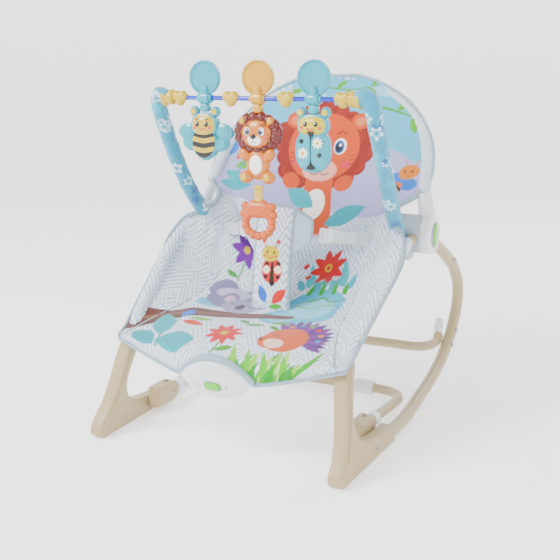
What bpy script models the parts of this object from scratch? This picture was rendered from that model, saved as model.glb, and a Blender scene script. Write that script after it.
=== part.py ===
"""Infant rocker seat: curved rails, folding kickstand, reclining back, vibration module and toy bar.

Units are metres, +Z is up, +Y points to the back of the seat, and X = 0 is the plane of symmetry.
Every piece is parented to one empty that stands under the toes of the front feet, so the places
below are measured from the toes (Y) and from the floor (Z).
"""
import math

import bmesh
import bpy
from mathutils import Vector

# Whole object
TOE_TIP_Y = -0.0030              # the toes bulge a little in front of the Y datum
RAIL_BACK_Y = 0.5445             # rearmost point of the rails
TOE_Y = -(TOE_TIP_Y + RAIL_BACK_Y) / 2   # the origin is under the middle of the whole object
GAP = 0.0003                     # clearance between pieces that touch

# Rails and feet
RAIL_RADIUS = 0.010
TOE_X = 0.1975                   # middle of the foot at the floor
RAIL_X = 0.2105                  # middle of the rail where the two are widest apart
FOOT_THICKNESS = 0.0228
FOOT_LEAN = 0.165                # how far a leg leans inwards for each metre of height
FOOT_LEAN_START = 0.030

# Seat frame
SEAT_TUBE_RADIUS = 0.008
FRONT_TUBE_RADIUS = 0.0065
BACK_TUBE_RADIUS = 0.008
CROSS_TUBE_RADIUS = 0.0085

# Recline hub
HUB_Y = 0.337
HUB_Z = 0.296
HUB_RADIUS = 0.0305
HUB_INNER_X = 0.1600
HUB_SIDE_X = 0.2045              # outer face of the fixed housing
HUB_CAP_X = 0.2225               # outer face of the turning cap
CAP_GAP = 0.0005                 # between the housing and the turning cap
BOLT_RADIUS = 0.0045

# Kickstand
STAND_PIVOT_Y = 0.168
STAND_PIVOT_Z = 0.0290
STAND_BLOCK_RADIUS = 0.0165
STAND_X = 0.1768
STAND_TUBE_RADIUS = 0.0080
STAND_PAD_RADIUS = 0.0125

# Toy bar
BAR_Y = 0.160
BAR_Z = 0.509
BAR_RADIUS = 0.0035
BAR_HALF = 0.1520
JOINT_INNER_X = 0.1440
JOINT_OUTER_X = 0.1625
TOY_SPACING = 0.090
DISC_RADIUS = 0.0255
DISC_Z = 0.539
LEG_RADIUS = 0.0115

# Vibration module
MODULE_Y = 0.0260
MODULE_Z = 0.1180
MODULE_HALF_WIDTH = 0.0590
MODULE_HALF_HEIGHT = 0.0310
MODULE_WALL = 0.0020
MODULE_FRONT_DEPTH = 0.0120
MODULE_BACK_DEPTH = 0.0170
MODULE_TILT = math.radians(15)  # the top of its face leans forwards

FABRIC_THICKNESS = 0.010

PARTS = "bouncer_seat"
SIDES = (("right", 1), ("left", -1))


def clear_scene():
    for old in list(bpy.data.objects):
        bpy.data.objects.remove(old, do_unlink=True)


def new_collection(name):
    collection = bpy.data.collections.new(name)
    bpy.context.scene.collection.children.link(collection)
    return collection


def material(name, colour, roughness=0.5, metallic=0.0):
    made = bpy.data.materials.new(name)
    made.use_nodes = True
    shader = made.node_tree.nodes["Principled BSDF"]
    shader.inputs["Base Color"].default_value = (*colour, 1.0)
    shader.inputs["Roughness"].default_value = roughness
    shader.inputs["Metallic"].default_value = metallic
    return made


clear_scene()
parts = new_collection(PARTS)
cutters = new_collection("cutters")
base = bpy.data.objects.new("toe_line", None)
base.location = (0, TOE_Y, 0)
parts.objects.link(base)

TAN = material("tan_paint", (0.58, 0.45, 0.29), 0.35)
WHITE = material("white_plastic", (0.86, 0.86, 0.85), 0.35)
GREY = material("grey_plastic", (0.50, 0.53, 0.56), 0.45)
LIME = material("lime_plastic", (0.35, 0.72, 0.03), 0.30)
STEEL = material("bright_steel", (0.60, 0.60, 0.60), 0.25, 1.0)
RUBBER = material("pale_rubber", (0.80, 0.80, 0.80), 0.70)
FABRIC = material("pale_fabric", (0.80, 0.83, 0.85), 0.90)
PRINT = material("printed_fabric", (0.45, 0.72, 0.85), 0.90)
COVER = material("teal_cover", (0.06, 0.55, 0.68), 0.85)
YELLOW = material("yellow_plastic", (0.92, 0.60, 0.08), 0.30)
ORANGE = material("orange_silicone", (0.90, 0.27, 0.03), 0.40)
TEAL = material("teal_plastic", (0.05, 0.62, 0.70), 0.30)
BLUE = material("blue_plastic", (0.05, 0.20, 0.70), 0.25)
BOARD = material("green_board", (0.03, 0.25, 0.10), 0.50)
STRAP = material("white_webbing", (0.78, 0.80, 0.82), 0.85)


def add(obj, paint):
    """Put an object in the parts collection under the base empty and give it its material."""
    for collection in list(obj.users_collection):
        collection.objects.unlink(obj)
    parts.objects.link(obj)
    obj.parent = base
    obj.data.materials.clear()
    obj.data.materials.append(paint)
    return obj


def add_cutter(obj):
    for collection in list(obj.users_collection):
        collection.objects.unlink(obj)
    cutters.objects.link(obj)
    obj.parent = base
    obj.hide_render = True
    obj.display_type = "WIRE"
    return obj


def tube(name, points, radius, paint, steps=2, sides=2):
    """A round tube along a smooth curve through the points, with closed ends."""
    curve = bpy.data.curves.new(name, "CURVE")
    curve.dimensions = "3D"
    curve.resolution_u = steps
    curve.bevel_depth = radius
    curve.bevel_resolution = sides
    curve.use_fill_caps = True
    spline = curve.splines.new("BEZIER")
    spline.bezier_points.add(len(points) - 1)
    for knot, place in zip(spline.bezier_points, points):
        knot.co = place
        knot.handle_left_type = knot.handle_right_type = "AUTO"
    return add(bpy.data.objects.new(name, curve), paint)


def as_mesh(obj, paint=None):
    """Replace a curve object by the closed mesh that it draws."""
    bpy.context.view_layer.update()
    graph = bpy.context.evaluated_depsgraph_get()
    mesh = bpy.data.meshes.new_from_object(obj.evaluated_get(graph))
    work = bmesh.new()
    work.from_mesh(mesh)
    bmesh.ops.remove_doubles(work, verts=work.verts, dist=0.00001)
    bmesh.ops.recalc_face_normals(work, faces=work.faces)
    work.to_mesh(mesh)
    work.free()
    made = bpy.data.objects.new("solid", mesh)
    made.matrix_basis = obj.matrix_basis.copy()
    name = obj.name
    bpy.data.objects.remove(obj, do_unlink=True)
    made.name = name
    mesh.shade_smooth()
    mesh.set_sharp_from_angle(angle=math.radians(40))
    return add(made, paint) if paint else made


def plate(name, outline, thickness, paint, place, facing, rounding=0.0, round_steps=1):
    """A flat outline extruded to a thickness. facing is "side" (outline in Y and Z) or "front"."""
    curve = bpy.data.curves.new(name, "CURVE")
    curve.dimensions = "2D"
    curve.fill_mode = "BOTH"
    curve.extrude = thickness / 2 - rounding
    curve.bevel_depth = rounding
    curve.bevel_resolution = round_steps
    curve.offset = -rounding
    spline = curve.splines.new("POLY")
    spline.points.add(len(outline) - 1)
    for knot, (across, up) in zip(spline.points, outline):
        knot.co = (across, up, 0, 1)
    spline.use_cyclic_u = True
    made = bpy.data.objects.new(name, curve)
    quarter = math.pi / 2
    made.rotation_euler = (quarter, 0, quarter) if facing == "side" else (quarter, 0, 0)
    made.location = place
    return as_mesh(add(made, paint), paint)


def ellipse(half_width, half_height, count, centre=(0, 0)):
    turns = (2 * math.pi * step / count for step in range(count))
    return [(centre[0] + half_width * math.cos(a), centre[1] + half_height * math.sin(a)) for a in turns]


def finish_mesh(work, name, paint, smooth_angle=40):
    mesh = bpy.data.meshes.new(name)
    work.to_mesh(mesh)
    work.free()
    mesh.shade_smooth()
    mesh.set_sharp_from_angle(angle=math.radians(smooth_angle))
    return add(bpy.data.objects.new(name, mesh), paint)


def rod(name, start, end, radius, paint, sides=16, end_radius=None):
    """A straight cylinder or cone between two points."""
    start = Vector(start)
    end = Vector(end)
    work = bmesh.new()
    bmesh.ops.create_cone(
        work, cap_ends=True, segments=sides, radius1=radius,
        radius2=radius if end_radius is None else end_radius, depth=(end - start).length)
    made = finish_mesh(work, name, paint)
    made.location = (start + end) / 2
    made.rotation_euler = (end - start).to_track_quat("Z", "Y").to_euler()
    return made


def box(name, size, place, paint, turn=(0, 0, 0), rounding=0.0):
    """A box of the given size about a point, with rounded edges."""
    work = bmesh.new()
    bmesh.ops.create_cube(work, size=1.0)
    bmesh.ops.scale(work, vec=size, verts=work.verts)
    made = finish_mesh(work, name, paint)
    made.location = place
    made.rotation_euler = turn
    if rounding:
        bevel = made.modifiers.new("rounding", "BEVEL")
        bevel.width = rounding
        bevel.segments = 2
    return made


def cut(obj, cutter):
    """Take a cutter away from a piece."""
    add_cutter(cutter)
    change = obj.modifiers.new("cut_" + cutter.name, "BOOLEAN")
    change.operation = "DIFFERENCE"
    change.solver = "EXACT"
    change.object = cutter


def join(obj, other):
    """Make a piece one body with another shape."""
    add_cutter(other)
    change = obj.modifiers.new("join_" + other.name, "BOOLEAN")
    change.operation = "UNION"
    change.solver = "EXACT"
    change.object = other


def mirrored(points, side):
    return [(side * x, y, z) for x, y, z in points]


# ---------------------------------------------------------------- rails, feet and cross tube

RAIL_PATH = [
    (0.1990, 0.100, 0.0105), (0.2035, 0.192, 0.0105), (0.2070, 0.259, 0.0130),
    (0.2090, 0.330, 0.0275), (RAIL_X, 0.400, 0.0435), (RAIL_X, 0.462, 0.0680),
    (RAIL_X, 0.515, 0.1120), (RAIL_X, 0.5345, 0.1580), (0.2095, 0.5150, 0.1990),
    (0.2040, 0.460, 0.2420), (0.1965, 0.400, 0.2730), (0.1920, 0.350, 0.2880),
]

FOOT_OUTLINE = [
    (0.006, 0.000), (0.000, 0.004), (-0.003, 0.013), (0.002, 0.023), (0.014, 0.037), (0.027, 0.057),
    (0.038, 0.083), (0.052, 0.126), (0.066, 0.152), (0.079, 0.170), (0.097, 0.164), (0.088, 0.146),
    (0.074, 0.120), (0.064, 0.097), (0.059, 0.079), (0.061, 0.063), (0.071, 0.047), (0.088, 0.037),
    (0.115, 0.031), (0.150, 0.027), (0.196, 0.0245), (0.196, 0.000),
]


def foot_middle_x(y, z):
    """The foot follows the rail outwards and its leg leans inwards."""
    toe_out = (RAIL_PATH[1][0] - TOE_X) * max(0.0, y) / RAIL_PATH[1][1]
    return TOE_X + toe_out * max(0.0, 1 - z / 0.05) - FOOT_LEAN * max(0.0, z - FOOT_LEAN_START)


def build_foot(name, side):
    foot = plate(name, FOOT_OUTLINE, FOOT_THICKNESS, TAN, (0, 0, 0), "side", 0.0022)
    for corner in foot.data.vertices:
        corner.co.z = side * (corner.co.z + foot_middle_x(corner.co.x, corner.co.y))
    if side < 0:
        foot.data.flip_normals()
    rail_hole = tube(name + "_rail_hole", mirrored(RAIL_PATH, side), RAIL_RADIUS + GAP, TAN)
    cut(foot, as_mesh(rail_hole, TAN))
    tube_hole = tube(name + "_seat_tube_hole", mirrored(SIDE_TUBE_PATH, side),
                     SEAT_TUBE_RADIUS + GAP, TAN)
    cut(foot, as_mesh(tube_hole, TAN))
    return foot


SIDE_TUBE_PATH = [
    (0.1752, 0.0780, 0.1500), (0.1790, 0.0900, 0.1690), (0.1850, 0.1180, 0.1890),
    (0.1900, 0.1580, 0.2180), (0.1955, 0.2040, 0.2530), (0.1955, 0.2560, 0.2840),
    (0.1948, 0.3250, 0.2940),
]

FRONT_TUBE_PATH = [
    (0.1625, 0.0760, 0.1460), (0.1300, 0.0700, 0.1370), (0.0700, 0.0610, 0.1230), (0.0, 0.0580, 0.1190),
]

REAR_TUBE_PATH = [
    (0.1975, 0.4660, 0.0930), (0.1880, 0.4790, 0.0760), (0.1600, 0.4930, 0.0610),
    (0.1000, 0.5010, 0.0560), (0.0, 0.5040, 0.0550),
]


def whole_path(half):
    """A path across the seat from its right half."""
    return half + [(-x, y, z) for x, y, z in reversed(half[:-1])]


def build_frame():
    for word, side in SIDES:
        tube("rail_" + word, mirrored(RAIL_PATH, side), RAIL_RADIUS, TAN)
        build_foot("front_foot_" + word, side)
        tube("seat_side_tube_" + word, mirrored(SIDE_TUBE_PATH, side), SEAT_TUBE_RADIUS, TAN)
    tube("seat_front_tube", whole_path(FRONT_TUBE_PATH), FRONT_TUBE_RADIUS, TAN)
    build_rear_tube()


def build_rear_tube():
    """The rear cross tube, whose flattened ends meet the inner sides of the rails."""
    rear = as_mesh(tube("rear_cross_tube", whole_path(REAR_TUBE_PATH), CROSS_TUBE_RADIUS, TAN), TAN)
    for word, side in SIDES:
        hole = tube("rail_clearance_" + word, mirrored(RAIL_PATH, side), RAIL_RADIUS + GAP, TAN)
        cut(rear, as_mesh(hole, TAN))


# ---------------------------------------------------------------- kickstand

STAND_PATH = [
    (STAND_X, 0.1900, 0.0280), (STAND_X, 0.2400, 0.0250), (STAND_X, 0.2900, 0.0215),
    (0.1740, 0.3250, 0.0190), (0.1560, 0.3520, 0.0165), (0.1250, 0.3660, 0.0140), (0.0850, 0.3700, 0.0132),
    (0.0, 0.3710, 0.0130),
]
BLOCK_INNER_X = 0.1660
BLOCK_OUTER_X = 0.1872
TONGUE_THICKNESS = 0.0070
TONGUE_RADIUS = 0.0095
PIN_RADIUS = 0.0030


def half_round_bar(length, radius, count=10):
    """An outline with a round end about the pivot and a square end towards the front."""
    turns = [math.pi * (step / count - 0.5) for step in range(count + 1)]
    ends = [(radius * math.cos(a), radius * math.sin(a)) for a in turns]
    return ends + [(-length, radius), (-length, -radius)]


def build_kickstand():
    tube("kickstand_tube", whole_path(STAND_PATH), STAND_TUBE_RADIUS, TAN)
    for word, side in SIDES:
        middle = side * (BLOCK_INNER_X + BLOCK_OUTER_X) / 2
        pivot = (middle, STAND_PIVOT_Y, STAND_PIVOT_Z)
        block = plate("pivot_block_" + word, half_round_bar(0.044, STAND_BLOCK_RADIUS),
                      BLOCK_OUTER_X - BLOCK_INNER_X, TAN, pivot, "side", 0.0015)
        slot = box("block_slot_" + word, (TONGUE_THICKNESS + 0.001, 0.030, 0.050),
                   (side * STAND_X, STAND_PIVOT_Y + 0.0045, STAND_PIVOT_Z), TAN)
        cut(block, slot)
        pin_ends = [(side * x, STAND_PIVOT_Y, STAND_PIVOT_Z) for x in (BLOCK_INNER_X + 0.001, BLOCK_OUTER_X)]
        cut(block, rod("block_pin_hole_" + word, (side * 0.150, *pin_ends[0][1:]),
                       (side * 0.1915, *pin_ends[1][1:]), PIN_RADIUS + 0.0001, TAN))
        rod("kickstand_pin_" + word, *pin_ends, PIN_RADIUS, STEEL)
        build_collar(word, side)
        build_stand_pad(word, side)


def build_collar(word, side):
    """A white collar on the tube's end, with the tongue that turns on the pivot pin."""
    start = STAND_PIVOT_Y + STAND_BLOCK_RADIUS + 0.0007
    collar = rod("kickstand_collar_" + word, (side * STAND_X, start, 0.0287),
                 (side * STAND_X, start + 0.018, 0.0272), 0.0112, WHITE)
    tongue = plate("tongue_" + word, [(y + 0.0001, z) for y, z in half_round_tongue()],
                   TONGUE_THICKNESS, WHITE, (side * STAND_X, STAND_PIVOT_Y, STAND_PIVOT_Z), "side")
    join(collar, tongue)
    cut(collar, rod("tongue_hole_" + word, (side * 0.150, STAND_PIVOT_Y, STAND_PIVOT_Z),
                    (side * 0.200, STAND_PIVOT_Y, STAND_PIVOT_Z), PIN_RADIUS + 0.0003, WHITE))
    seat = tube("collar_hole_" + word, mirrored(STAND_PATH, side), STAND_TUBE_RADIUS + GAP, WHITE)
    cut(collar, as_mesh(seat, WHITE))


def half_round_tongue():
    """The tongue's round end points to the front, and its tail runs into the collar."""
    return [(-y, -z) for y, z in half_round_bar(0.0195, TONGUE_RADIUS)]


def build_stand_pad(word, side):
    """A rubber sleeve on the cross part of the kickstand, which rests on the floor."""
    pad = rod("kickstand_pad_" + word, (side * 0.0800, 0.3702, 0.0131), (side * 0.1150, 0.3680, 0.0136),
              STAND_PAD_RADIUS, RUBBER)
    bore = tube("pad_hole_" + word, whole_path(STAND_PATH), STAND_TUBE_RADIUS + GAP, RUBBER)
    cut(pad, as_mesh(bore, RUBBER))


# ---------------------------------------------------------------- recline hubs and back frame

BACK_TUBE_PATH = [
    (0.2000, 0.3440, 0.3330), (0.1960, 0.3560, 0.3560), (0.1925, 0.3770, 0.3870), (0.1870, 0.3960, 0.4150),
    (0.1730, 0.4220, 0.4480), (0.1490, 0.4390, 0.4790), (0.1150, 0.4490, 0.5050), (0.0700, 0.4550, 0.5230),
    (0.0, 0.4580, 0.5320),
]
LEG_PATH = [
    (0.1750, 0.1560, 0.5200), (0.1780, 0.1760, 0.4750), (0.1790, 0.2080, 0.4200), (0.1775, 0.2480, 0.3600),
    (0.1750, 0.2780, 0.3250), (0.1735, 0.3170, 0.2810),
]
LEG_SOCKET_END = (0.1734, 0.3180, 0.2799)


def hub_drum(name, inner_x, outer_x, radius, side, paint):
    return rod(name, (side * inner_x, HUB_Y, HUB_Z), (side * outer_x, HUB_Y, HUB_Z), radius, paint, 24)


def build_hub(word, side):
    """The fixed housing, with the passages of the rail, the seat tube, the toy bar and the bolt."""
    housing = hub_drum("hub_housing_" + word, HUB_INNER_X, HUB_SIDE_X, HUB_RADIUS, side, WHITE)
    passages = (
        ("rail", RAIL_PATH, RAIL_RADIUS), ("seat_tube", SIDE_TUBE_PATH, SEAT_TUBE_RADIUS),
        ("toy_leg", LEG_PATH + [LEG_SOCKET_END], LEG_RADIUS + 0.0005))
    for label, path, radius in passages:
        hole = tube(housing.name + "_" + label, mirrored(path, side), radius + GAP, WHITE)
        cut(housing, as_mesh(hole, WHITE))
    cut(housing, hub_drum(housing.name + "_bolt", HUB_INNER_X - 0.01, HUB_SIDE_X + 0.01,
                          BOLT_RADIUS + GAP, side, WHITE))
    hub_drum("recline_bolt_" + word, HUB_INNER_X + 0.002, HUB_SIDE_X + 0.006, BOLT_RADIUS, side, STEEL)


def build_cap(word, side):
    """The turning half of the hub: a cap round the button, with the socket of the back tube."""
    cap = hub_drum("back_socket_" + word, HUB_SIDE_X + CAP_GAP, HUB_CAP_X, HUB_RADIUS + 0.001, side, WHITE)
    socket = rod("socket_sleeve_" + word, (side * 0.2090, 0.3400, 0.3130), (side * 0.1968, 0.3560, 0.3560),
                 0.0135, WHITE, 16, 0.0120)
    join(cap, socket)
    cut(cap, hub_drum("sleeve_housing_gap_" + word, 0.150, HUB_SIDE_X + CAP_GAP / 2, HUB_RADIUS + 0.0008,
                      side, WHITE))
    passage = tube("socket_bore_" + word, mirrored(BACK_TUBE_PATH, side), BACK_TUBE_RADIUS + GAP, WHITE)
    cut(cap, as_mesh(passage, WHITE))
    well = plate("button_well_" + word, ellipse(0.0125, 0.0195, 20), 0.020, WHITE,
                 (side * (HUB_CAP_X + 0.0005), HUB_Y, HUB_Z), "side")
    cut(cap, well)
    cut(cap, hub_drum("bolt_well_" + word, HUB_SIDE_X - 0.01, HUB_SIDE_X + 0.0085, 0.0055, side, WHITE))


def build_button(word, side):
    """The oval button that frees the recline, with its return spring behind it."""
    thickness = 0.0042
    plate("hub_button_" + word, ellipse(0.0119, 0.0189, 20), thickness, LIME,
          (side * (HUB_CAP_X + 0.0005), HUB_Y, HUB_Z), "side", 0.0012)
    front = HUB_CAP_X + 0.0005 - thickness / 2 - GAP
    rear = HUB_CAP_X + 0.0005 - 0.010 + GAP
    wire = 0.0005
    turns = 3
    per_turn = 8
    curve = bpy.data.curves.new("hub_spring_" + word, "CURVE")
    curve.dimensions = "3D"
    curve.bevel_depth = wire
    curve.bevel_resolution = 2
    curve.use_fill_caps = True
    spline = curve.splines.new("POLY")
    count = turns * per_turn
    spline.points.add(count)
    for step in range(count + 1):
        angle = 2 * math.pi * step / per_turn
        along = rear + wire + (front - rear - 2 * wire) * step / count
        spline.points[step].co = (side * along, HUB_Y + 0.0082 * math.cos(angle),
                                  HUB_Z + 0.0082 * math.sin(angle), 1)
    add(bpy.data.objects.new("hub_spring_" + word, curve), STEEL)


def build_back_tube():
    tube("back_tube", whole_path(BACK_TUBE_PATH), BACK_TUBE_RADIUS, TAN)


# ---------------------------------------------------------------- vibration module


def almond(half_width, half_height, count=9):
    """Two circular arcs that meet in points at the left and right."""
    radius = (half_width ** 2 + half_height ** 2) / (2 * half_height)
    reach = math.asin(half_width / radius)
    upper = []
    for step in range(count + 1):
        angle = reach * (1 - 2 * step / count)
        upper.append((radius * math.sin(angle), radius * math.cos(angle) - radius + half_height))
    return upper + [(-x, -z) for x, z in upper[1:-1]]


def module_piece(name, half_width, half_height, front, back, paint, rounding=0.0):
    """An almond between two depths, measured backwards from the module's parting face."""
    middle = (front + back) / 2
    piece = plate(name, almond(half_width, half_height), back - front, paint,
                  (0, MODULE_Y + middle, MODULE_Z), "front", rounding)
    return piece


def build_module():
    front = module_piece("module_front_shell", MODULE_HALF_WIDTH, MODULE_HALF_HEIGHT,
                         -MODULE_FRONT_DEPTH, -GAP / 2, WHITE, 0.0035)
    back = module_piece("module_back_shell", MODULE_HALF_WIDTH - 0.001, MODULE_HALF_HEIGHT - 0.001,
                        GAP / 2, MODULE_BACK_DEPTH, GREY, 0.0025)
    hollow = (MODULE_HALF_WIDTH - 0.006, MODULE_HALF_HEIGHT - 0.0045)
    cut(front, module_piece("front_hollow", *hollow, MODULE_WALL - MODULE_FRONT_DEPTH, 0.001, WHITE))
    cut(back, module_piece("back_hollow", *hollow, -0.001, MODULE_BACK_DEPTH - MODULE_WALL, WHITE))
    button_place = (0, MODULE_Y - MODULE_FRONT_DEPTH, MODULE_Z - 0.0045)
    cut(front, plate("switch_window", stadium(0.0135, 0.0068), 0.012, WHITE, button_place, "front"))
    plate("switch_button", stadium(0.0130, 0.0063), 0.0050, LIME,
          (0, button_place[1] - 0.0008, button_place[2]), "front", 0.0012)
    door_place = (0.004, MODULE_Y + MODULE_BACK_DEPTH, MODULE_Z)
    door_size = (0.056, 0.0016, 0.018)
    cut(back, box("door_window", (door_size[0] + 2 * GAP, 0.012, door_size[2] + 2 * GAP), door_place, WHITE))
    box("battery_door", door_size, (door_place[0], door_place[1] - 0.0009, door_place[2]), GREY)
    rod("battery", (-0.021, MODULE_Y + 0.0072, MODULE_Z + 0.004),
        (0.0285, MODULE_Y + 0.0072, MODULE_Z + 0.004), 0.0068, STEEL)
    motor = rod("vibration_motor", (-0.0425, MODULE_Y + 0.0075, MODULE_Z),
                (-0.0295, MODULE_Y + 0.0075, MODULE_Z), 0.0055, STEEL)
    shaft_hole = rod("motor_hole", (-0.031, MODULE_Y + 0.0075, MODULE_Z),
                     (-0.0285, MODULE_Y + 0.0075, MODULE_Z), 0.0012, STEEL, 10)
    cut(motor, shaft_hole)
    weight = plate("motor_weight", half_round_bar(0.0, 0.0044, 8)[:9], 0.0035, STEEL,
                   (-0.0268, MODULE_Y + 0.0075, MODULE_Z), "side")
    axle = rod("weight_axle", (-0.0300, MODULE_Y + 0.0075, MODULE_Z), (-0.0255, MODULE_Y + 0.0075, MODULE_Z),
               0.0009, STEEL, 10)
    join(weight, axle)
    box("circuit_board", (0.036, 0.0014, 0.0200), (0.0, MODULE_Y - 0.0035, MODULE_Z - 0.003), BOARD)
    return back


def stadium(half_width, half_height, count=6):
    """A flat oval: two half circles joined by straight sides."""
    straight = half_width - half_height
    right = [math.pi * (step / count - 0.5) for step in range(count + 1)]
    end = [(straight + half_height * math.cos(a), half_height * math.sin(a)) for a in right]
    return end + [(-x, -z) for x, z in end]


# ---------------------------------------------------------------- soft goods

# Places along the seat from the front hem to the top of the back: the middle of the fabric
# (Y, Z) and the edge that it hangs from (X, Y, Z).
SLING = [
    ((0.052, 0.146), (0.1600, 0.0600, 0.1620)),
    ((0.085, 0.166), (0.1700, 0.0980, 0.1890)),
    ((0.140, 0.171), (0.1760, 0.1400, 0.2190)),
    ((0.195, 0.175), (0.1810, 0.1830, 0.2530)),
    ((0.236, 0.180), (0.1830, 0.2230, 0.2790)),
    ((0.268, 0.203), (0.1780, 0.2600, 0.3050)),
    ((0.322, 0.270), (0.1620, 0.3020, 0.3240)),
    ((0.352, 0.312), (0.1780, 0.3450, 0.3520)),
    ((0.384, 0.365), (0.1800, 0.3680, 0.3820)),
    ((0.410, 0.416), (0.1750, 0.3900, 0.4150)),
    ((0.432, 0.466), (0.1560, 0.4140, 0.4490)),
    ((0.447, 0.505), (0.1180, 0.4380, 0.4850)),
    ((0.452, 0.518), (0.0600, 0.4480, 0.5110)),
]
FLAT_HALF = 0.62                 # share of the half width that stays nearly flat


def sling_point(across, along):
    """A point of the seat fabric: across runs from -1 to 1, along counts the places in SLING."""
    low = min(int(along), len(SLING) - 2)
    blend = along - low
    middle = Vector((0, *SLING[low][0])).lerp(Vector((0, *SLING[low + 1][0])), blend)
    edge = Vector(SLING[low][1]).lerp(Vector(SLING[low + 1][1]), blend)
    rise = abs(across) ** 2.6
    return Vector((across * edge.x, middle.y + (edge.y - middle.y) * rise, middle.z + (edge.z - middle.z) * rise))


def sling_piece(name, across, along, columns, rows, paint, thickness=FABRIC_THICKNESS):
    """A padded panel: part of the seat's surface, thickened downwards and backwards."""
    work = bmesh.new()
    bmesh.ops.create_grid(work, x_segments=columns, y_segments=rows, size=0.5)
    for corner in work.verts:
        share_across = corner.co.x + 0.5
        share_along = corner.co.y + 0.5
        corner.co = sling_point(
            across[0] + (across[1] - across[0]) * share_across,
            along[0] + (along[1] - along[0]) * share_along)
    panel = finish_mesh(work, name, paint)
    padding = panel.modifiers.new("padding", "SOLIDIFY")
    padding.thickness = thickness
    padding.offset = -1.0
    return panel


CROTCH_LOW = (0.0, 0.1960, 0.1800)
CROTCH_HIGH = (0.0, 0.2230, 0.3420)


def build_soft_goods():
    sling_piece("seat_pad", (-FLAT_HALF, FLAT_HALF), (0.0, 6.4), 5, 11, PRINT)
    for word, side in SIDES:
        edges = sorted((side * (FLAT_HALF + 0.02), side * 0.98))
        sling_piece("wing_pad_" + word, edges, (0.25, 5.1), 3, 7, FABRIC, 0.007)
    sling_piece("back_pad", (-0.96, 0.96), (7.0, 11.9), 7, 7, PRINT)
    build_crotch_pad()
    for word, side in SIDES:
        build_waist_belt(word, side)


def build_crotch_pad():
    """The padded strap between the legs, with a flap on each side of its top."""
    low = Vector(CROTCH_LOW)
    high = Vector(CROTCH_HIGH)
    lean = math.atan2(high.y - low.y, high.z - low.z)
    height = (high - low).length
    tilt = (-lean, 0, 0)
    pad = box("crotch_pad", (0.064, 0.012, height), (low + high) / 2, FABRIC, tilt, 0.004)
    for word, side in SIDES:
        flap = box("crotch_flap_" + word, (0.032, 0.008, 0.062), (side * 0.0430, 0.2265, 0.3080), FABRIC,
                   (-lean, 0, side * math.radians(28)))
        join(pad, flap)


def build_waist_belt(word, side):
    """A short belt from the side of the seat to a buckle on the flap."""
    direction = Vector((math.cos(math.radians(36)), math.sin(math.radians(36)), -0.12)).normalized()
    across = Vector((side * direction.x, direction.y, direction.z))
    start = Vector((side * 0.0635, 0.2420, 0.2980))
    yaw = side * math.atan2(direction.y, direction.x)
    roll = side * math.asin(-direction.z)

    def lay(name, size, travel, paint, rounding):
        return box(name, size, start + across * travel, paint, (0, roll, yaw), rounding)

    lay("buckle_" + word, (0.030, 0.0080, 0.024), 0.0150, WHITE, 0.0020)
    lay("waist_belt_" + word, (0.050, 0.0024, 0.020), 0.0560, STRAP, 0.0)


# ---------------------------------------------------------------- toy bar


def build_toy_bar():
    rod("toy_bar_rod", (-BAR_HALF, BAR_Y, BAR_Z), (BAR_HALF, BAR_Y, BAR_Z), BAR_RADIUS, BLUE, 12)
    for word, side in SIDES:
        tube("toy_bar_leg_" + word, mirrored(LEG_PATH, side), LEG_RADIUS, COVER)
        joint = rod("toy_bar_joint_" + word, (side * JOINT_INNER_X, BAR_Y, BAR_Z),
                    (side * JOINT_OUTER_X, BAR_Y, BAR_Z), 0.0100, YELLOW, 16, 0.0140)
        cut(joint, rod("joint_hole_" + word, (side * (JOINT_INNER_X - 0.01), BAR_Y, BAR_Z),
                       (side * (BAR_HALF + GAP), BAR_Y, BAR_Z), BAR_RADIUS + GAP, YELLOW, 12))
        bead("toy_bead_" + word, side * 0.0455)
    for label, place, paint in (("left", -1, TEAL), ("middle", 0, YELLOW), ("right", 1, TEAL)):
        build_clip(label, place * TOY_SPACING, paint)


def bead(name, x):
    """A round-sided bead with a free-running hole for the rod."""
    work = bmesh.new()
    bmesh.ops.create_uvsphere(work, u_segments=12, v_segments=8, radius=1.0)
    bmesh.ops.scale(work, vec=(0.0100, 0.0105, 0.0105), verts=work.verts)
    made = finish_mesh(work, name, YELLOW)
    made.location = (x, BAR_Y, BAR_Z)
    cut(made, rod(name + "_hole", (x - 0.02, BAR_Y, BAR_Z), (x + 0.02, BAR_Y, BAR_Z), BAR_RADIUS + 0.0004,
                  YELLOW, 12))


def build_clip(label, x, paint):
    """A disc over the rod on a stem, with a clip that runs on the rod and carries a toy."""
    clip = rod("disc_clip_" + label, (x, BAR_Y - 0.0045, DISC_Z), (x, BAR_Y + 0.0045, DISC_Z), DISC_RADIUS,
               paint, 24)
    join(clip, rod("clip_barrel_" + label, (x - 0.0085, BAR_Y, BAR_Z), (x + 0.0085, BAR_Y, BAR_Z), 0.0090,
                   paint, 16))
    join(clip, rod("clip_stem_" + label, (x, BAR_Y, BAR_Z - 0.016), (x, BAR_Y, DISC_Z - 0.020), 0.0045,
                   paint, 12))
    cut(clip, rod("clip_hole_" + label, (x - 0.02, BAR_Y, BAR_Z), (x + 0.02, BAR_Y, BAR_Z),
                  BAR_RADIUS + 0.0004, paint, 12))


def toy_solid(name, x, top, size, paint, depth=0.017):
    """A rounded flat toy that hangs below its clip."""
    half_width = size[0] / 2
    half_height = size[1] / 2
    return plate(name, ellipse(half_width, half_height, 18), depth, paint,
                 (x, BAR_Y, top - half_height), "front", 0.0040)


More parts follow.
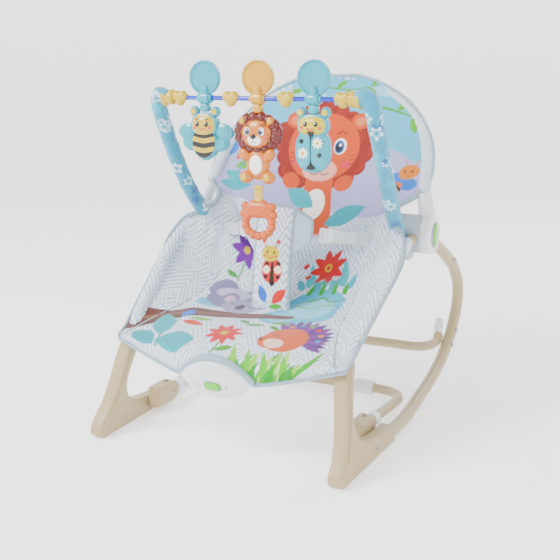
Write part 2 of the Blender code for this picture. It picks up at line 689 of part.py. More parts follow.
def build_toys():
    toy_top = BAR_Z - 0.0170
    bee = toy_solid("toy_bee", -TOY_SPACING, toy_top, (0.040, 0.068), YELLOW)
    for side in (-1, 1):
        wing = plate("bee_wing_" + str(side), ellipse(0.021, 0.014, 14), 0.006, TEAL,
                     (-TOY_SPACING + side * 0.024, BAR_Y, toy_top - 0.037), "front")
        wing.rotation_euler.y = side * math.radians(-25)
        join(bee, wing)
    lion = toy_solid("toy_lion", 0.0, toy_top, (0.070, 0.064), YELLOW)
    join(lion, plate("lion_body", ellipse(0.023, 0.032, 16), 0.015, YELLOW, (0, BAR_Y, toy_top - 0.078), "front",
                     0.003))
    toy_solid("toy_ladybird", TOY_SPACING, toy_top, (0.052, 0.086), TEAL)
    strap_top = toy_top - 0.1110
    box("teether_strap", (0.013, 0.004, 0.024), (0, BAR_Y, strap_top - 0.0125), YELLOW)
    ring_place = (0, BAR_Y, strap_top - 0.0245 - 0.0285)
    ring = plate("teether_ring", ellipse(0.0310, 0.0280, 20), 0.0110, ORANGE, ring_place, "front", 0.0040)
    cut(ring, plate("teether_hole", ellipse(0.0150, 0.0110, 14), 0.030, ORANGE,
                    (0, BAR_Y, ring_place[2] - 0.003), "front"))


def build_tilted_module():
    """Build the vibration module upright, lean it forwards, and clamp it to the front tube."""
    before = set(bpy.data.objects)
    back = build_module()
    pieces = [piece for piece in bpy.data.objects if piece not in before]
    pivot = bpy.data.objects.new("module_tilt", None)
    pivot.location = (0, MODULE_Y, MODULE_Z)
    pivot.parent = base
    parts.objects.link(pivot)
    for piece in pieces:
        piece.parent = pivot
        piece.location -= pivot.location
    pivot.rotation_euler = (MODULE_TILT, 0, 0)
    for word, side in SIDES:
        join(back, rod("clamp_boss_" + word, (side * 0.0420, 0.0400, 0.1165), (side * 0.0420, 0.0600, 0.1200),
                       0.0070, GREY, 12))
    hole = tube("clamp_hole", whole_path(FRONT_TUBE_PATH), FRONT_TUBE_RADIUS + GAP, GREY)
    cut(back, as_mesh(hole, GREY))


build_frame()
build_kickstand()
for side_word, side_sign in SIDES:
    build_hub(side_word, side_sign)
    build_cap(side_word, side_sign)
    build_button(side_word, side_sign)
build_back_tube()
build_tilted_module()
build_soft_goods()
build_toy_bar()
build_toys()
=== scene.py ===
"""The looks of an infant rocker seat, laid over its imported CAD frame.

Places are measured as in the CAD source: X = 0 is the plane of symmetry, Y is counted from the toes
and Z from the floor. at() turns them into the row frame, whose origin is under the middle.
"""

import math

import bmesh
import bpy
import numpy as np
from mathutils import Matrix, Vector


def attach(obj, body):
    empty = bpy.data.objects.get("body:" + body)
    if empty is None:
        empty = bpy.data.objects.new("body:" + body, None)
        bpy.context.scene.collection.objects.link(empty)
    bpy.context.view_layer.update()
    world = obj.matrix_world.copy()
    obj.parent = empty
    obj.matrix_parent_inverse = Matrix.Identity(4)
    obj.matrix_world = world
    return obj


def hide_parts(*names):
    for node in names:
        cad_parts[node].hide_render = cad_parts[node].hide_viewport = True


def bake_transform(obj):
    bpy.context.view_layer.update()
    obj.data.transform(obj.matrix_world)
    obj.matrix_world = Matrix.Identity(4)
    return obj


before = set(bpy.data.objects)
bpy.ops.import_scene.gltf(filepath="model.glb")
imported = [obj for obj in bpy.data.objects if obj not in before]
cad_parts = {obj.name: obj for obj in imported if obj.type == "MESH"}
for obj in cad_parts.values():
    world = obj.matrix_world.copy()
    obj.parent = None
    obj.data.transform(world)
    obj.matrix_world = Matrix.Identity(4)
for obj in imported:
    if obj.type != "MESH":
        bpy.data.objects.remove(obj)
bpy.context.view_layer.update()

TOE_Y = -0.27075
SIDES = (("right", 1), ("left", -1))
rng = np.random.default_rng(7)


def at(x, y, z):
    return Vector((x, y + TOE_Y, z))


# ------------------------------------------------------------------ camera, floor and light

CAMERA_AT = at(0.6262, -1.0316, 0.5422)
CAMERA_TILT = math.radians(90 - 12.81)
CAMERA_TURN = math.radians(26.35)


LENS = 57.86                     # millimetres, on a sensor 36 mm wide
COVE_START = 4.0                 # the flat floor bends up into a round backdrop here
COVE_RADIUS = 1.5
COVE_TOP = 4.0
COVE_TURNS = 64
FLOOR_DROP = 0.0003              # keeps the floor just under the feet
FLOOR_GLOW = 0.68
SKY_GLOW = 0.75


def build_stage():
    camera = bpy.data.objects.new("camera", bpy.data.cameras.new("camera"))
    bpy.context.collection.objects.link(camera)
    camera.location = CAMERA_AT
    camera.rotation_euler = (CAMERA_TILT, 0, CAMERA_TURN)
    camera.data.sensor_width = 36
    camera.data.lens = LENS
    bpy.context.scene.camera = camera

    world = bpy.data.worlds.new("studio")
    bpy.context.scene.world = world
    world.use_nodes = True
    sky = world.node_tree.nodes["Background"]
    sky.inputs["Color"].default_value = (1.0, 1.0, 1.0, 1)
    sky.inputs["Strength"].default_value = SKY_GLOW

    floor = bpy.data.objects.new("floor", bpy.data.meshes.new("floor"))
    bpy.context.collection.objects.link(floor)
    profile = [(0.5, 0.0), (2.0, 0.0), (COVE_START, 0.0)]
    for a in np.linspace(0.15, math.pi / 2, 12):
        profile.append((COVE_START + COVE_RADIUS * math.sin(a), COVE_RADIUS * (1 - math.cos(a))))
    profile.append((COVE_START + COVE_RADIUS, COVE_TOP))
    turns = COVE_TURNS
    verts = [(r * math.cos(2 * math.pi * k / turns), r * math.sin(2 * math.pi * k / turns), z - FLOOR_DROP)
             for r, z in profile for k in range(turns)]
    faces = [(i * turns + k, (i + 1) * turns + k, (i + 1) * turns + (k + 1) % turns,
              i * turns + (k + 1) % turns)
             for i in range(len(profile) - 1) for k in range(turns)]
    floor.data.from_pydata(verts, [], faces + [tuple(range(turns))])
    floor.data.shade_smooth()
    white = surface("floor_white", "#FFFFFF", 0.9)
    white.node_tree.nodes["Principled BSDF"].inputs["Emission Color"].default_value = (1, 1, 1, 1)
    white.node_tree.nodes["Principled BSDF"].inputs["Emission Strength"].default_value = FLOOR_GLOW
    floor.data.materials.append(white)

    lamp("key", (-1.3, -1.6, 2.2), 1.1, 110)
    lamp("fill", (1.9, -1.2, 1.3), 1.6, 12)
    lamp("rim", (0.6, 1.9, 2.0), 1.2, 26)


def lamp(name, place, size, power):
    light = bpy.data.lights.new(name, "AREA")
    light.size = size
    light.energy = power
    holder = bpy.data.objects.new(name, light)
    bpy.context.collection.objects.link(holder)
    holder.location = place
    aim = Vector((0, 0, 0.25)) - Vector(place)
    holder.rotation_euler = aim.to_track_quat("-Z", "Y").to_euler()


# ------------------------------------------------------------------ colours and materials

RICHNESS = 1.75                  # how far each channel moves away from the mean of the three
CONTRAST = 1.35                  # power that darkens the mid tones
DEPTH = 0.44                     # how much a fully saturated colour is darkened


def tint(code):
    """A linear colour from its sRGB code."""
    parts = [int(code[i:i + 2], 16) / 255 for i in (1, 3, 5)]
    parts = [p / 12.92 if p <= 0.04045 else ((p + 0.055) / 1.055) ** 2.4 for p in parts]
    mean = sum(parts) / 3
    parts = [min(1.0, max(0.0, mean + (p - mean) * RICHNESS)) ** CONTRAST for p in parts]
    strength = (max(parts) - min(parts)) / max(max(parts), 1e-6)
    return tuple(p * (1 - DEPTH * strength) for p in parts)


def surface(name, code, rough, metal=0.0, grain=0.0, grain_size=900.0, coat=0.0, sheen=0.0, mottle=0.0):
    """A material with a fine grain and patchy gloss."""
    made = bpy.data.materials.new(name)
    made.use_nodes = True
    nodes, links = made.node_tree.nodes, made.node_tree.links
    shader = nodes["Principled BSDF"]
    shader.inputs["Base Color"].default_value = (*tint(code), 1)
    shader.inputs["Roughness"].default_value = rough
    shader.inputs["Metallic"].default_value = metal
    shader.inputs["Coat Weight"].default_value = coat
    shader.inputs["Coat Roughness"].default_value = 0.12
    shader.inputs["Sheen Weight"].default_value = sheen
    where = nodes.new("ShaderNodeTexCoord")
    if mottle:
        patch = nodes.new("ShaderNodeTexNoise")
        patch.inputs["Scale"].default_value = 45
        patch.inputs["Detail"].default_value = 3
        links.new(where.outputs["Object"], patch.inputs["Vector"])
        ramp = nodes.new("ShaderNodeMapRange")
        ramp.inputs["To Min"].default_value = max(0.02, rough - mottle)
        ramp.inputs["To Max"].default_value = min(1.0, rough + mottle)
        links.new(patch.outputs["Fac"], ramp.inputs["Value"])
        links.new(ramp.outputs["Result"], shader.inputs["Roughness"])
    if grain:
        speck = nodes.new("ShaderNodeTexNoise")
        speck.inputs["Scale"].default_value = grain_size
        speck.inputs["Detail"].default_value = 2
        links.new(where.outputs["Object"], speck.inputs["Vector"])
        bump = nodes.new("ShaderNodeBump")
        bump.inputs["Strength"].default_value = grain
        bump.inputs["Distance"].default_value = 0.0004
        links.new(speck.outputs["Fac"], bump.inputs["Height"])
        links.new(bump.outputs["Normal"], shader.inputs["Normal"])
    return made


def cloth_material(name, code=None, weave=1500.0, depth=0.35, rough=0.86, sheen=0.25, fold=0.0):
    """Woven cloth. Its colour is one code, or the mesh's own "print" where there is none."""
    made = surface(name, code or "#E8EEF2", rough, sheen=sheen)
    nodes, links = made.node_tree.nodes, made.node_tree.links
    shader = nodes["Principled BSDF"]
    where = nodes["Texture Coordinate"]
    height = None
    for turn in ("X", "Y", "Z"):
        thread = nodes.new("ShaderNodeTexWave")
        thread.bands_direction = turn
        thread.inputs["Scale"].default_value = weave / 6.28
        links.new(where.outputs["Object"], thread.inputs["Vector"])
        if height is None:
            height = thread.outputs["Fac"]
        else:
            both = nodes.new("ShaderNodeMath")
            both.operation = "ADD"
            links.new(height, both.inputs[0])
            links.new(thread.outputs["Fac"], both.inputs[1])
            height = both.outputs[0]
    bump = nodes.new("ShaderNodeBump")
    bump.inputs["Strength"].default_value = depth
    bump.inputs["Distance"].default_value = 0.0003
    links.new(height, bump.inputs["Height"])
    last = bump.outputs["Normal"]
    if fold:
        crease = nodes.new("ShaderNodeTexNoise")
        crease.inputs["Scale"].default_value = 38
        crease.inputs["Detail"].default_value = 4
        crease.inputs["Distortion"].default_value = 0.8
        links.new(where.outputs["Object"], crease.inputs["Vector"])
        wrinkle = nodes.new("ShaderNodeBump")
        wrinkle.inputs["Strength"].default_value = fold
        wrinkle.inputs["Distance"].default_value = 0.004
        links.new(crease.outputs["Fac"], wrinkle.inputs["Height"])
        links.new(last, wrinkle.inputs["Normal"])
        last = wrinkle.outputs["Normal"]
    links.new(last, shader.inputs["Normal"])
    if code is None:
        dye = nodes.new("ShaderNodeAttribute")
        dye.attribute_name = "print"
        links.new(dye.outputs["Color"], shader.inputs["Base Color"])
    return made


TAN = surface("tan_paint_skin", "#CBC0AB", 0.34, grain=0.10, mottle=0.06, coat=0.15)
TAN_MOULD = surface("tan_mould", "#C7BCA7", 0.42, grain=0.22, grain_size=1600, mottle=0.06)
WHITE = surface("white_shell", "#E4E5E7", 0.30, grain=0.06, mottle=0.05, coat=0.25)
GREY = surface("grey_shell", "#C3C8CD", 0.48, grain=0.25, grain_size=1700, mottle=0.05)
LIME = surface("lime_button", "#93D62A", 0.25, coat=0.4, mottle=0.04)
STEEL = surface("zinc_steel", "#B9B9B4", 0.30, metal=1.0, grain=0.15, mottle=0.10)
# near-black brown used as painted shade, for the hollow cross recesses of the screws
RECESS_SHADE = surface("painted_recess_shade", "#3A342B", 0.6)
RUBBER = surface("pale_rubber_skin", "#E4E5E4", 0.62, grain=0.3, mottle=0.05)
BOARD = surface("board_green", "#1E7A46", 0.45, mottle=0.08)
YELLOW = surface("yellow_gloss", "#FFD75C", 0.24, coat=0.4, mottle=0.04)
AMBER = surface("amber_gloss", "#FFCB6E", 0.24, coat=0.4, mottle=0.04)
TEAL = surface("teal_gloss", "#35C3CF", 0.24, coat=0.4, mottle=0.04)
BLUE = surface("blue_rod_gloss", "#3F77D6", 0.18, coat=0.5, mottle=0.03)
LION = surface("lion_orange", "#FAAE48", 0.30, coat=0.3, mottle=0.05)
MANE = surface("mane_brown", "#8A4A26", 0.34, coat=0.3, mottle=0.05)
CURL = surface("curl_brown", "#6B3418", 0.4)
BLACK = surface("black_print", "#241E1C", 0.35, coat=0.2)
PAPER = surface("white_print", "#FBFAF6", 0.35, coat=0.2)
PINK = surface("pink_print", "#F4949A", 0.4)
SKY_EYE = surface("eye_blue", "#4B86B5", 0.25, coat=0.3)
LEMON = surface("lemon_face", "#F4DC3F", 0.28, coat=0.3, mottle=0.04)
RED = surface("red_print", "#E0483A", 0.4)
CORAL_GEL = surface("teether_orange", "#FB9F55", 0.38, coat=0.15, grain=0.1, mottle=0.06)
PRINTED = cloth_material("printed_cloth", fold=0.10)
PLUSH = cloth_material("plush_cloth", weave=2300, depth=0.5, sheen=0.5, fold=0.25)
BINDING = cloth_material("grey_binding", "#BBC6CD", weave=2600, depth=0.5, fold=0.2)
WEBBING = cloth_material("webbing", "#E9EDF0", weave=2400, depth=0.9)


# ------------------------------------------------------------------ making meshes

def link(obj, body, stands_for=()):
    """Put a piece in the scene, on its body and the nodes it replaces."""
    bpy.context.collection.objects.link(obj)
    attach(obj, body)
    if stands_for:
        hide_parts(*stands_for)
    return obj


def mesh_object(name, verts, faces, paints, indices=None, smooth=40):
    mesh = bpy.data.meshes.new(name)
    mesh.from_pydata([tuple(v) for v in verts], [], [tuple(f) for f in faces])
    for paint in paints:
        mesh.materials.append(paint)
    if indices is not None:
        mesh.polygons.foreach_set("material_index", indices)
    mesh.shade_smooth()
    if smooth:
        mesh.set_sharp_from_angle(angle=math.radians(smooth))
    return bpy.data.objects.new(name, mesh)


def smooth_path(points, steps=8):
    """The points of a smooth curve through the given ones, as the CAD tubes follow it."""
    curve = bpy.data.curves.new("path", "CURVE")
    curve.dimensions = "3D"
    curve.resolution_u = steps
    spline = curve.splines.new("BEZIER")
    spline.bezier_points.add(len(points) - 1)
    for knot, place in zip(spline.bezier_points, points):
        knot.co = place
        knot.handle_left_type = knot.handle_right_type = "AUTO"
    holder = bpy.data.objects.new("path", curve)
    bpy.context.collection.objects.link(holder)
    mesh = holder.to_mesh()
    path = [v.co.copy() for v in mesh.vertices]
    holder.to_mesh_clear()
    bpy.data.objects.remove(holder, do_unlink=True)
    bpy.data.curves.remove(curve)
    return path


def sweep(path, radius, sides=20, caps=True):
    """Rings along a path. radius is a number or a function of (share along, angle)."""
    path = [Vector(p) for p in path]
    count = len(path)
    lengths = [0.0]
    for a, b in zip(path, path[1:]):
        lengths.append(lengths[-1] + (b - a).length)
    up = Vector((0, 0, 1)) if abs((path[1] - path[0]).normalized().z) < 0.9 else Vector((1, 0, 0))
    verts, faces = [], []
    for i, place in enumerate(path):
        ahead = (path[min(i + 1, count - 1)] - path[max(i - 1, 0)]).normalized()
        side = ahead.cross(up).normalized()
        up = side.cross(ahead).normalized()
        for k in range(sides):
            turn = 2 * math.pi * k / sides
            r = radius(lengths[i] / lengths[-1], turn) if callable(radius) else radius
            verts.append(place + (side * math.cos(turn) + up * math.sin(turn)) * r)
    for i in range(count - 1):
        for k in range(sides):
            a, b = i * sides + k, i * sides + (k + 1) % sides
            faces.append((a, b, b + sides, a + sides))
    if caps:
        faces.append(tuple(reversed(range(sides))))
        faces.append(tuple((count - 1) * sides + k for k in range(sides)))
    return verts, faces


DOME_ROWS = ((0.02, 1.0), (0.4, 0.85), (0.75, 0.45))     # share of the outline, share of the dome's height


class Model:
    """Collects shapes into one piece with several materials. Places are as in the CAD source."""

    def __init__(self, name):
        self.name = name
        self.verts, self.faces, self.marks, self.paints = [], [], [], []

    def take(self, verts, faces, paint, move=True):
        if paint not in self.paints:
            self.paints.append(paint)
        start = len(self.verts)
        shift = Vector((0, TOE_Y, 0)) if move else Vector()
        self.verts += [Vector(v) + shift for v in verts]
        self.faces += [tuple(start + i for i in f) for f in faces]
        self.marks += [self.paints.index(paint)] * len(faces)

    def ball(self, place, radii, paint, turn=(0, 0, 0), rings=12):
        radii = (radii,) * 3 if isinstance(radii, (int, float)) else radii
        spin = Matrix.Rotation(turn[1], 3, "Y") @ Matrix.Rotation(turn[0], 3,
                                                                  "X") @ Matrix.Rotation(turn[2], 3, "Z")
        work = bmesh.new()
        bmesh.ops.create_uvsphere(work, u_segments=rings * 2, v_segments=rings, radius=1)
        verts = [spin @ Vector((v.co.x * radii[0], v.co.y * radii[1], v.co.z * radii[2])) + Vector(place)
                 for v in work.verts]
        faces = [[v.index for v in f.verts] for f in work.faces]
        work.free()
        self.take(verts, faces, paint)

    def tube(self, points, radius, paint, sides=12, steps=6):
        path = smooth_path(points, steps) if len(points) > 2 else [Vector(p) for p in points]
        self.take(*sweep(path, radius, sides), paint)

    def turned(self, profile, start, ahead, paint, sides=40):
        """A solid of revolution: profile is (distance along, radius) from one end to the other."""
        ahead = Vector(ahead).normalized()
        spin = ahead.to_track_quat("Z", "Y").to_matrix()
        verts, faces = [], []
        for along, radius in profile:
            for k in range(sides):
                a = 2 * math.pi * k / sides
                verts.append(Vector(start) + spin @ Vector((radius * math.cos(a), radius * math.sin(a),
                                                            along)))
        for i in range(len(profile) - 1):
            for k in range(sides):
                a, b = i * sides + k, i * sides + (k + 1) % sides
                faces.append((a, b, b + sides, a + sides))
        faces.append(tuple(reversed(range(sides))))
        faces.append(tuple((len(profile) - 1) * sides + k for k in range(sides)))
        self.take(verts, faces, paint)

    def pad(self, outline, depth, place, paint, facing="front", dome=0.35, rounding=0.003, tilt=0.0):
        """A flat outline with a rounded rim and gently domed faces. facing is front or side."""
        count = len(outline)
        centre = Vector((sum(p[0] for p in outline) / count, sum(p[1] for p in outline) / count))
        rows = [(share, 0.0, depth / 2 + dome * depth * 0.5 * lift) for share, lift in DOME_ROWS]
        steps = 4
        for s in range(steps + 1):
            a = math.pi / 2 * s / steps
            rows.append((1.0, rounding * (1 - math.sin(a)), depth / 2 - rounding * (1 - math.cos(a))))
        rows += [(share, inset, -height) for share, inset, height in reversed(rows)]
        mean = sum((Vector(p) - centre).length for p in outline) / count
        verts, faces = [], []
        for share, inset, height in rows:
            for p in outline:
                off = Vector(p) - centre
                scale = share * (1 - inset / max(mean, 1e-6))
                q = centre + off * scale
                verts.append(self.lay(q, height, place, facing, tilt))
        for i in range(len(rows) - 1):
            for k in range(count):
                a, b = i * count + k, i * count + (k + 1) % count
                faces.append((a, b, b + count, a + count))
        faces.append(tuple(reversed(range(count))))
        faces.append(tuple((len(rows) - 1) * count + k for k in range(count)))
        self.take(verts, faces, paint)

    @staticmethod
    def lay(q, height, place, facing, tilt):
        if facing == "front":
            flat = Vector((q[0], -height, q[1]))
        else:
            flat = Vector((height, q[0], q[1]))
        return Matrix.Rotation(tilt, 3, "X") @ flat + Vector(place)

    def spot(self, place, size, paint, turn=0.0, lift=0.0005, tilt=0.0, count=24):
        """A thin printed disc that faces the front."""
        outline = []
        for k in range(count):
            a = 2 * math.pi * k / count
            x, z = size[0] * math.cos(a), size[1] * math.sin(a)
            outline.append((x * math.cos(turn) - z * math.sin(turn),
                            x * math.sin(turn) + z * math.cos(turn)))
        self.pad(outline, 2 * lift, place, paint, dome=0.3, rounding=lift * 0.6, tilt=tilt)

    def mesh(self, smooth=50):
        obj = mesh_object(self.name, self.verts, self.faces, self.paints, self.marks, smooth)
        work = bmesh.new()
        work.from_mesh(obj.data)
        bmesh.ops.recalc_face_normals(work, faces=work.faces)
        work.to_mesh(obj.data)
        work.free()
        return obj

    def done(self, body, slot=None, stands_for=(), smooth=50):
        return link(self.mesh(smooth), body, stands_for)


def mirrored(points, side):
    return [(side * x, y, z) for x, y, z in points]


def whole_path(half):
    return half + [(-x, y, z) for x, y, z in reversed(half[:-1])]


def oval(half_width, half_height, count=32, centre=(0, 0), power=2.0):
    """An ellipse, or a squarer oval for a power above 2."""
    made = []
    for k in range(count):
        a = 2 * math.pi * k / count
        c, s = math.cos(a), math.sin(a)
        made.append((centre[0] + half_width * math.copysign(abs(c) ** (2 / power), c),
                     centre[1] + half_height * math.copysign(abs(s) ** (2 / power), s)))
    return made


def screw(model, place, ahead, radius=0.0042):
    """A pan-head screw with a cross recess, which points along ahead. The recess is drawn as two dark bars:
    painted shade.
    """
    model.turned([(-0.001, radius), (0.0006, radius), (0.0014, radius * 0.8), (0.0018, radius * 0.4)],
                 place, ahead, STEEL, 20)
    ahead = Vector(ahead).normalized()
    top = Vector(place) + ahead * 0.0016
    across = ahead.orthogonal().normalized()
    # two dark crossed bars at the head: painted shade standing in for the hollow of the recess
    for arm in (across, ahead.cross(across)):
        half = arm * radius * 0.5
        wide = ahead.cross(arm).normalized() * radius * 0.11
        low, high = top - ahead * 0.0008, top + ahead * 0.0004
        verts = [p + s1 * half + s2 * wide for p in (low, high) for s1, s2 in ((-1, -1), (1, -1), (1, 1),
                                                                               (-1, 1))]
        faces = [(0, 1, 2, 3), (4, 5, 6, 7), (0, 1, 5, 4), (1, 2, 6, 5), (2, 3, 7, 6), (3, 0, 4, 7)]
        model.take(verts, faces, RECESS_SHADE)


# ------------------------------------------------------------------ frame tubes

RAIL_PATH = [
    (0.1990, 0.100, 0.0105), (0.2035, 0.192, 0.0105), (0.2070, 0.259, 0.0130),
    (0.2090, 0.330, 0.0275), (0.2105, 0.400, 0.0435), (0.2105, 0.462, 0.0680),
    (0.2105, 0.515, 0.1120), (0.2105, 0.5345, 0.1580), (0.2095, 0.5150, 0.1990),
    (0.2040, 0.460, 0.2420), (0.1965, 0.400, 0.2730), (0.1920, 0.350, 0.2880),
]
SIDE_TUBE_PATH = [
    (0.1752, 0.0780, 0.1500), (0.1790, 0.0900, 0.1690), (0.1850, 0.1180, 0.1890),
    (0.1900, 0.1580, 0.2180), (0.1955, 0.2040, 0.2530), (0.1955, 0.2560, 0.2840),
    (0.1948, 0.3250, 0.2940),
]
FRONT_TUBE_PATH = [
    (0.1625, 0.0760, 0.1460), (0.1300, 0.0700, 0.1370), (0.0700, 0.0610, 0.1230), (0.0, 0.0580, 0.1190),
]
REAR_TUBE_PATH = [
    (0.1975, 0.4660, 0.0930), (0.1880, 0.4790, 0.0760), (0.1600, 0.4930, 0.0610),
    (0.1000, 0.5010, 0.0560), (0.0, 0.5040, 0.0550),
]
STAND_PATH = [
    (0.1768, 0.1900, 0.0280), (0.1768, 0.2400, 0.0250), (0.1768, 0.2900, 0.0215),
    (0.1740, 0.3250, 0.0190), (0.1560, 0.3520, 0.0165), (0.1250, 0.3660, 0.0140), (0.0850, 0.3700, 0.0132),
    (0.0, 0.3710, 0.0130),
]
BACK_TUBE_PATH = [
    (0.2000, 0.3440, 0.3330), (0.1960, 0.3560, 0.3560), (0.1925, 0.3770, 0.3870), (0.1870, 0.3960, 0.4150),
    (0.1730, 0.4220, 0.4480), (0.1490, 0.4390, 0.4790), (0.1150, 0.4490, 0.5050), (0.0700, 0.4550, 0.5230),
    (0.0, 0.4580, 0.5320),
]
LEG_PATH = [
    (0.1750, 0.1560, 0.5200), (0.1780, 0.1760, 0.4750), (0.1790, 0.2080, 0.4200), (0.1775, 0.2480, 0.3600),
    (0.1750, 0.2780, 0.3250), (0.1735, 0.3170, 0.2810),
]
FOOT_OUTLINE = [
    (0.006, 0.000), (0.000, 0.004), (-0.003, 0.013), (0.002, 0.023), (0.014, 0.037), (0.027, 0.057),
    (0.038, 0.083), (0.052, 0.126), (0.064, 0.148), (0.073, 0.158), (0.090, 0.154), (0.086, 0.144),
    (0.074, 0.120), (0.064, 0.097), (0.059, 0.079), (0.061, 0.063), (0.071, 0.047), (0.088, 0.037),
    (0.115, 0.031), (0.150, 0.027), (0.196, 0.0245), (0.196, 0.000),
]


def smooth_step(p, q, r, s, t):
    """A value between q and r, on a smooth curve that also follows p and s."""
    return 0.5 * (2 * q + (r - p) * t + (2 * p - 5 * q + 4 * r - s) * t * t
                  + (3 * q - p - 3 * r + s) * t ** 3)


def swept_piece(name, points, radius, paint, body, slot, node, sides=24, steps=10):
    model = Model(name)
    model.take(*sweep(smooth_path(points, steps), radius, sides), paint)
    return model.done(body, slot, (node,))


def foot_middle_x(y, z):
    toe_out = 0.006 * max(0.0, y) / 0.192
    return 0.1975 + toe_out * max(0.0, 1 - z / 0.05) - 0.165 * max(0.0, z - 0.03)


def build_foot(word, side):
    """A V-shaped foot with a rounded rim and a shallow panel along its outer face."""
    fine = []
    count = len(FOOT_OUTLINE)
    sharp = {0, count - 1, count - 2, 9, 10}
    for i, place in enumerate(FOOT_OUTLINE):
        before, after = FOOT_OUTLINE[i - 1], FOOT_OUTLINE[(i + 1) % count]
        last = FOOT_OUTLINE[(i + 2) % count]
        for s in range(3):
            t = s / 3
            if i in sharp or (i + 1) % count in sharp:
                fine.append(tuple(place[k] + (after[k] - place[k]) * t for k in (0, 1)))
                continue
            fine.append(tuple(smooth_step(p, q, r, w, t) for p, q, r, w in zip(before, place, after, last)))
    curve = bpy.data.curves.new("foot", "CURVE")
    curve.dimensions = "2D"
    curve.fill_mode = "BOTH"
    rounding = 0.0034
    curve.extrude = 0.0114 - rounding
    curve.bevel_depth = rounding
    curve.bevel_resolution = 4
    curve.offset = -rounding
    spline = curve.splines.new("POLY")
    spline.points.add(len(fine) - 1)
    for knot, (y, z) in zip(spline.points, fine):
        knot.co = (y, max(z, 0.0), 0, 1)
    spline.use_cyclic_u = True
    holder = bpy.data.objects.new("foot", curve)
    bpy.context.collection.objects.link(holder)
    mesh = holder.to_mesh()
    verts = [side * Vector((v.co.z + foot_middle_x(v.co.x, v.co.y), 0, 0)) + Vector((0, v.co.x, v.co.y))
             for v in mesh.vertices]
    faces = [tuple(p.vertices) for p in mesh.polygons]
    holder.to_mesh_clear()
    bpy.data.objects.remove(holder, do_unlink=True)
    model = Model("foot_" + word + "_skin")
    model.take(verts, faces, TAN_MOULD)
    rib = [(0.1975, 0.020, 0.030), (0.1960, 0.034, 0.054), (0.1910, 0.047, 0.085), (0.1845, 0.060, 0.124),
           (0.1795, 0.073, 0.152)]
    for face in (1, -1):
        model.tube([(side * (foot_middle_x(y, z) + face * 0.0108), y, z) for _, y, z in rib], 0.0022,
                   TAN_MOULD, 10)
    screw(model, (side * (foot_middle_x(0.120, 0.016) + 0.0114), 0.120, 0.016), (side, 0, 0))
    screw(model, (side * (foot_middle_x(0.076, 0.148) + 0.0114), 0.076, 0.148), (side, 0, 0), 0.0052)
    return model.done("base", "tan_plastic", ("front_foot_" + word,))


def build_frame():
    for word, side in SIDES:
        swept_piece("rail_" + word + "_skin", [tuple(p) for p in mirrored(RAIL_PATH, side)], 0.010, TAN,
                    "base", "tan_paint", "rail_" + word)
        swept_piece("seat_tube_" + word + "_skin", mirrored(SIDE_TUBE_PATH, side), 0.008, TAN, "base",
                    "tan_paint", "seat_side_tube_" + word)
        build_foot(word, side)
        build_rail_fixings(word, side)
    tubes = (("front_tube", FRONT_TUBE_PATH, 0.0065, "base", "seat_front_tube"),
             ("rear_tube", REAR_TUBE_PATH, 0.0085, "base", "rear_cross_tube"),
             ("kickstand", STAND_PATH, 0.008, "kickstand", "kickstand_tube"),
             ("back_tube", BACK_TUBE_PATH, 0.008, "backrest", "back_tube"))
    for name, path, radius, body, node in tubes:
        swept_piece(name + "_skin", whole_path(path), radius, TAN, body, "tan_paint", node)


def build_rail_fixings(word, side):
    """White spacer of the rear cross tube on the rail, and the screws along the rail."""
    spacer = Model("rail_spacer_" + word)
    spacer.pad(oval(0.0135, 0.0085, 28, power=3.5), 0.011, (0, 0, 0), WHITE, "side", 0.1, 0.002)
    tilt = Matrix.Rotation(math.radians(58), 3, "X")
    spacer.verts = [tilt @ (v - Vector((0, TOE_Y, 0))) + at(side * 0.1925, 0.483, 0.106)
                    for v in spacer.verts]
    spacer.done("base", "white_plastic")
    screws = Model("rail_screws_" + word)
    for x, y, z in ((0.2105, 0.474, 0.0765), (0.2105, 0.500, 0.0965), (0.2075, 0.480, 0.2290)):
        screw(screws, (side * (x + 0.0098), y, z), (side, 0, 0), 0.0045)
    screws.done("base", "steel")


# ------------------------------------------------------------------ kickstand, hubs and module

def round_cad(node, paint, width=0.0008, segments=3):
    """A CAD node that is shown, with its edges rounded off."""
    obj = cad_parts[node]
    for place in obj.material_slots:
        place.link = "OBJECT"
        place.material = paint
    if width:
        bevel = obj.modifiers.new("rounding", "BEVEL")
        bevel.width = width
        bevel.segments = segments
        bevel.limit_method = "ANGLE"
        bevel.angle_limit = math.radians(35)
    return obj


def paint_cad():
    both = ("right", "left")
    for word in both:
        round_cad("pivot_block_" + word, TAN_MOULD, 0.0010)
        round_cad("kickstand_collar_" + word, WHITE, 0.0008)
        round_cad("kickstand_pin_" + word, STEEL, 0.0004)
        round_cad("recline_bolt_" + word, STEEL, 0)
        round_cad("hub_spring_" + word, STEEL, 0)
        round_cad("hub_button_" + word, LIME, 0)
    for node, paint in (("battery", STEEL), ("vibration_motor", STEEL), ("motor_weight", STEEL),
                        ("circuit_board", BOARD), ("battery_door", GREY), ("switch_button", LIME),
                        ("module_back_shell", GREY)):
        round_cad(node, paint, 0)


def build_stand_pads():
    for word, side in SIDES:
        start, end = Vector((side * 0.0800, 0.3702, 0.0131)), Vector((side * 0.1150, 0.3680, 0.0136))
        length = (end - start).length
        pad = Model("stand_pad_" + word)
        profile = [(0, 0.0085), (0, 0.0112), (0.001, 0.0122), (0.003, 0.0125)]
        for k in range(6):
            groove = 0.0045 + k * (length - 0.009) / 5
            profile += [(groove - 0.0012, 0.0125), (groove - 0.0005, 0.0118), (groove + 0.0005, 0.0118),
                        (groove + 0.0012, 0.0125)]
        profile += [(length - 0.003, 0.0125), (length - 0.001, 0.0122), (length, 0.0112), (length, 0.0085)]
        pad.turned(profile, start, end - start, RUBBER)
        pad.done("kickstand", "rubber", ("kickstand_pad_" + word,))


HUB = (0.337, 0.296)


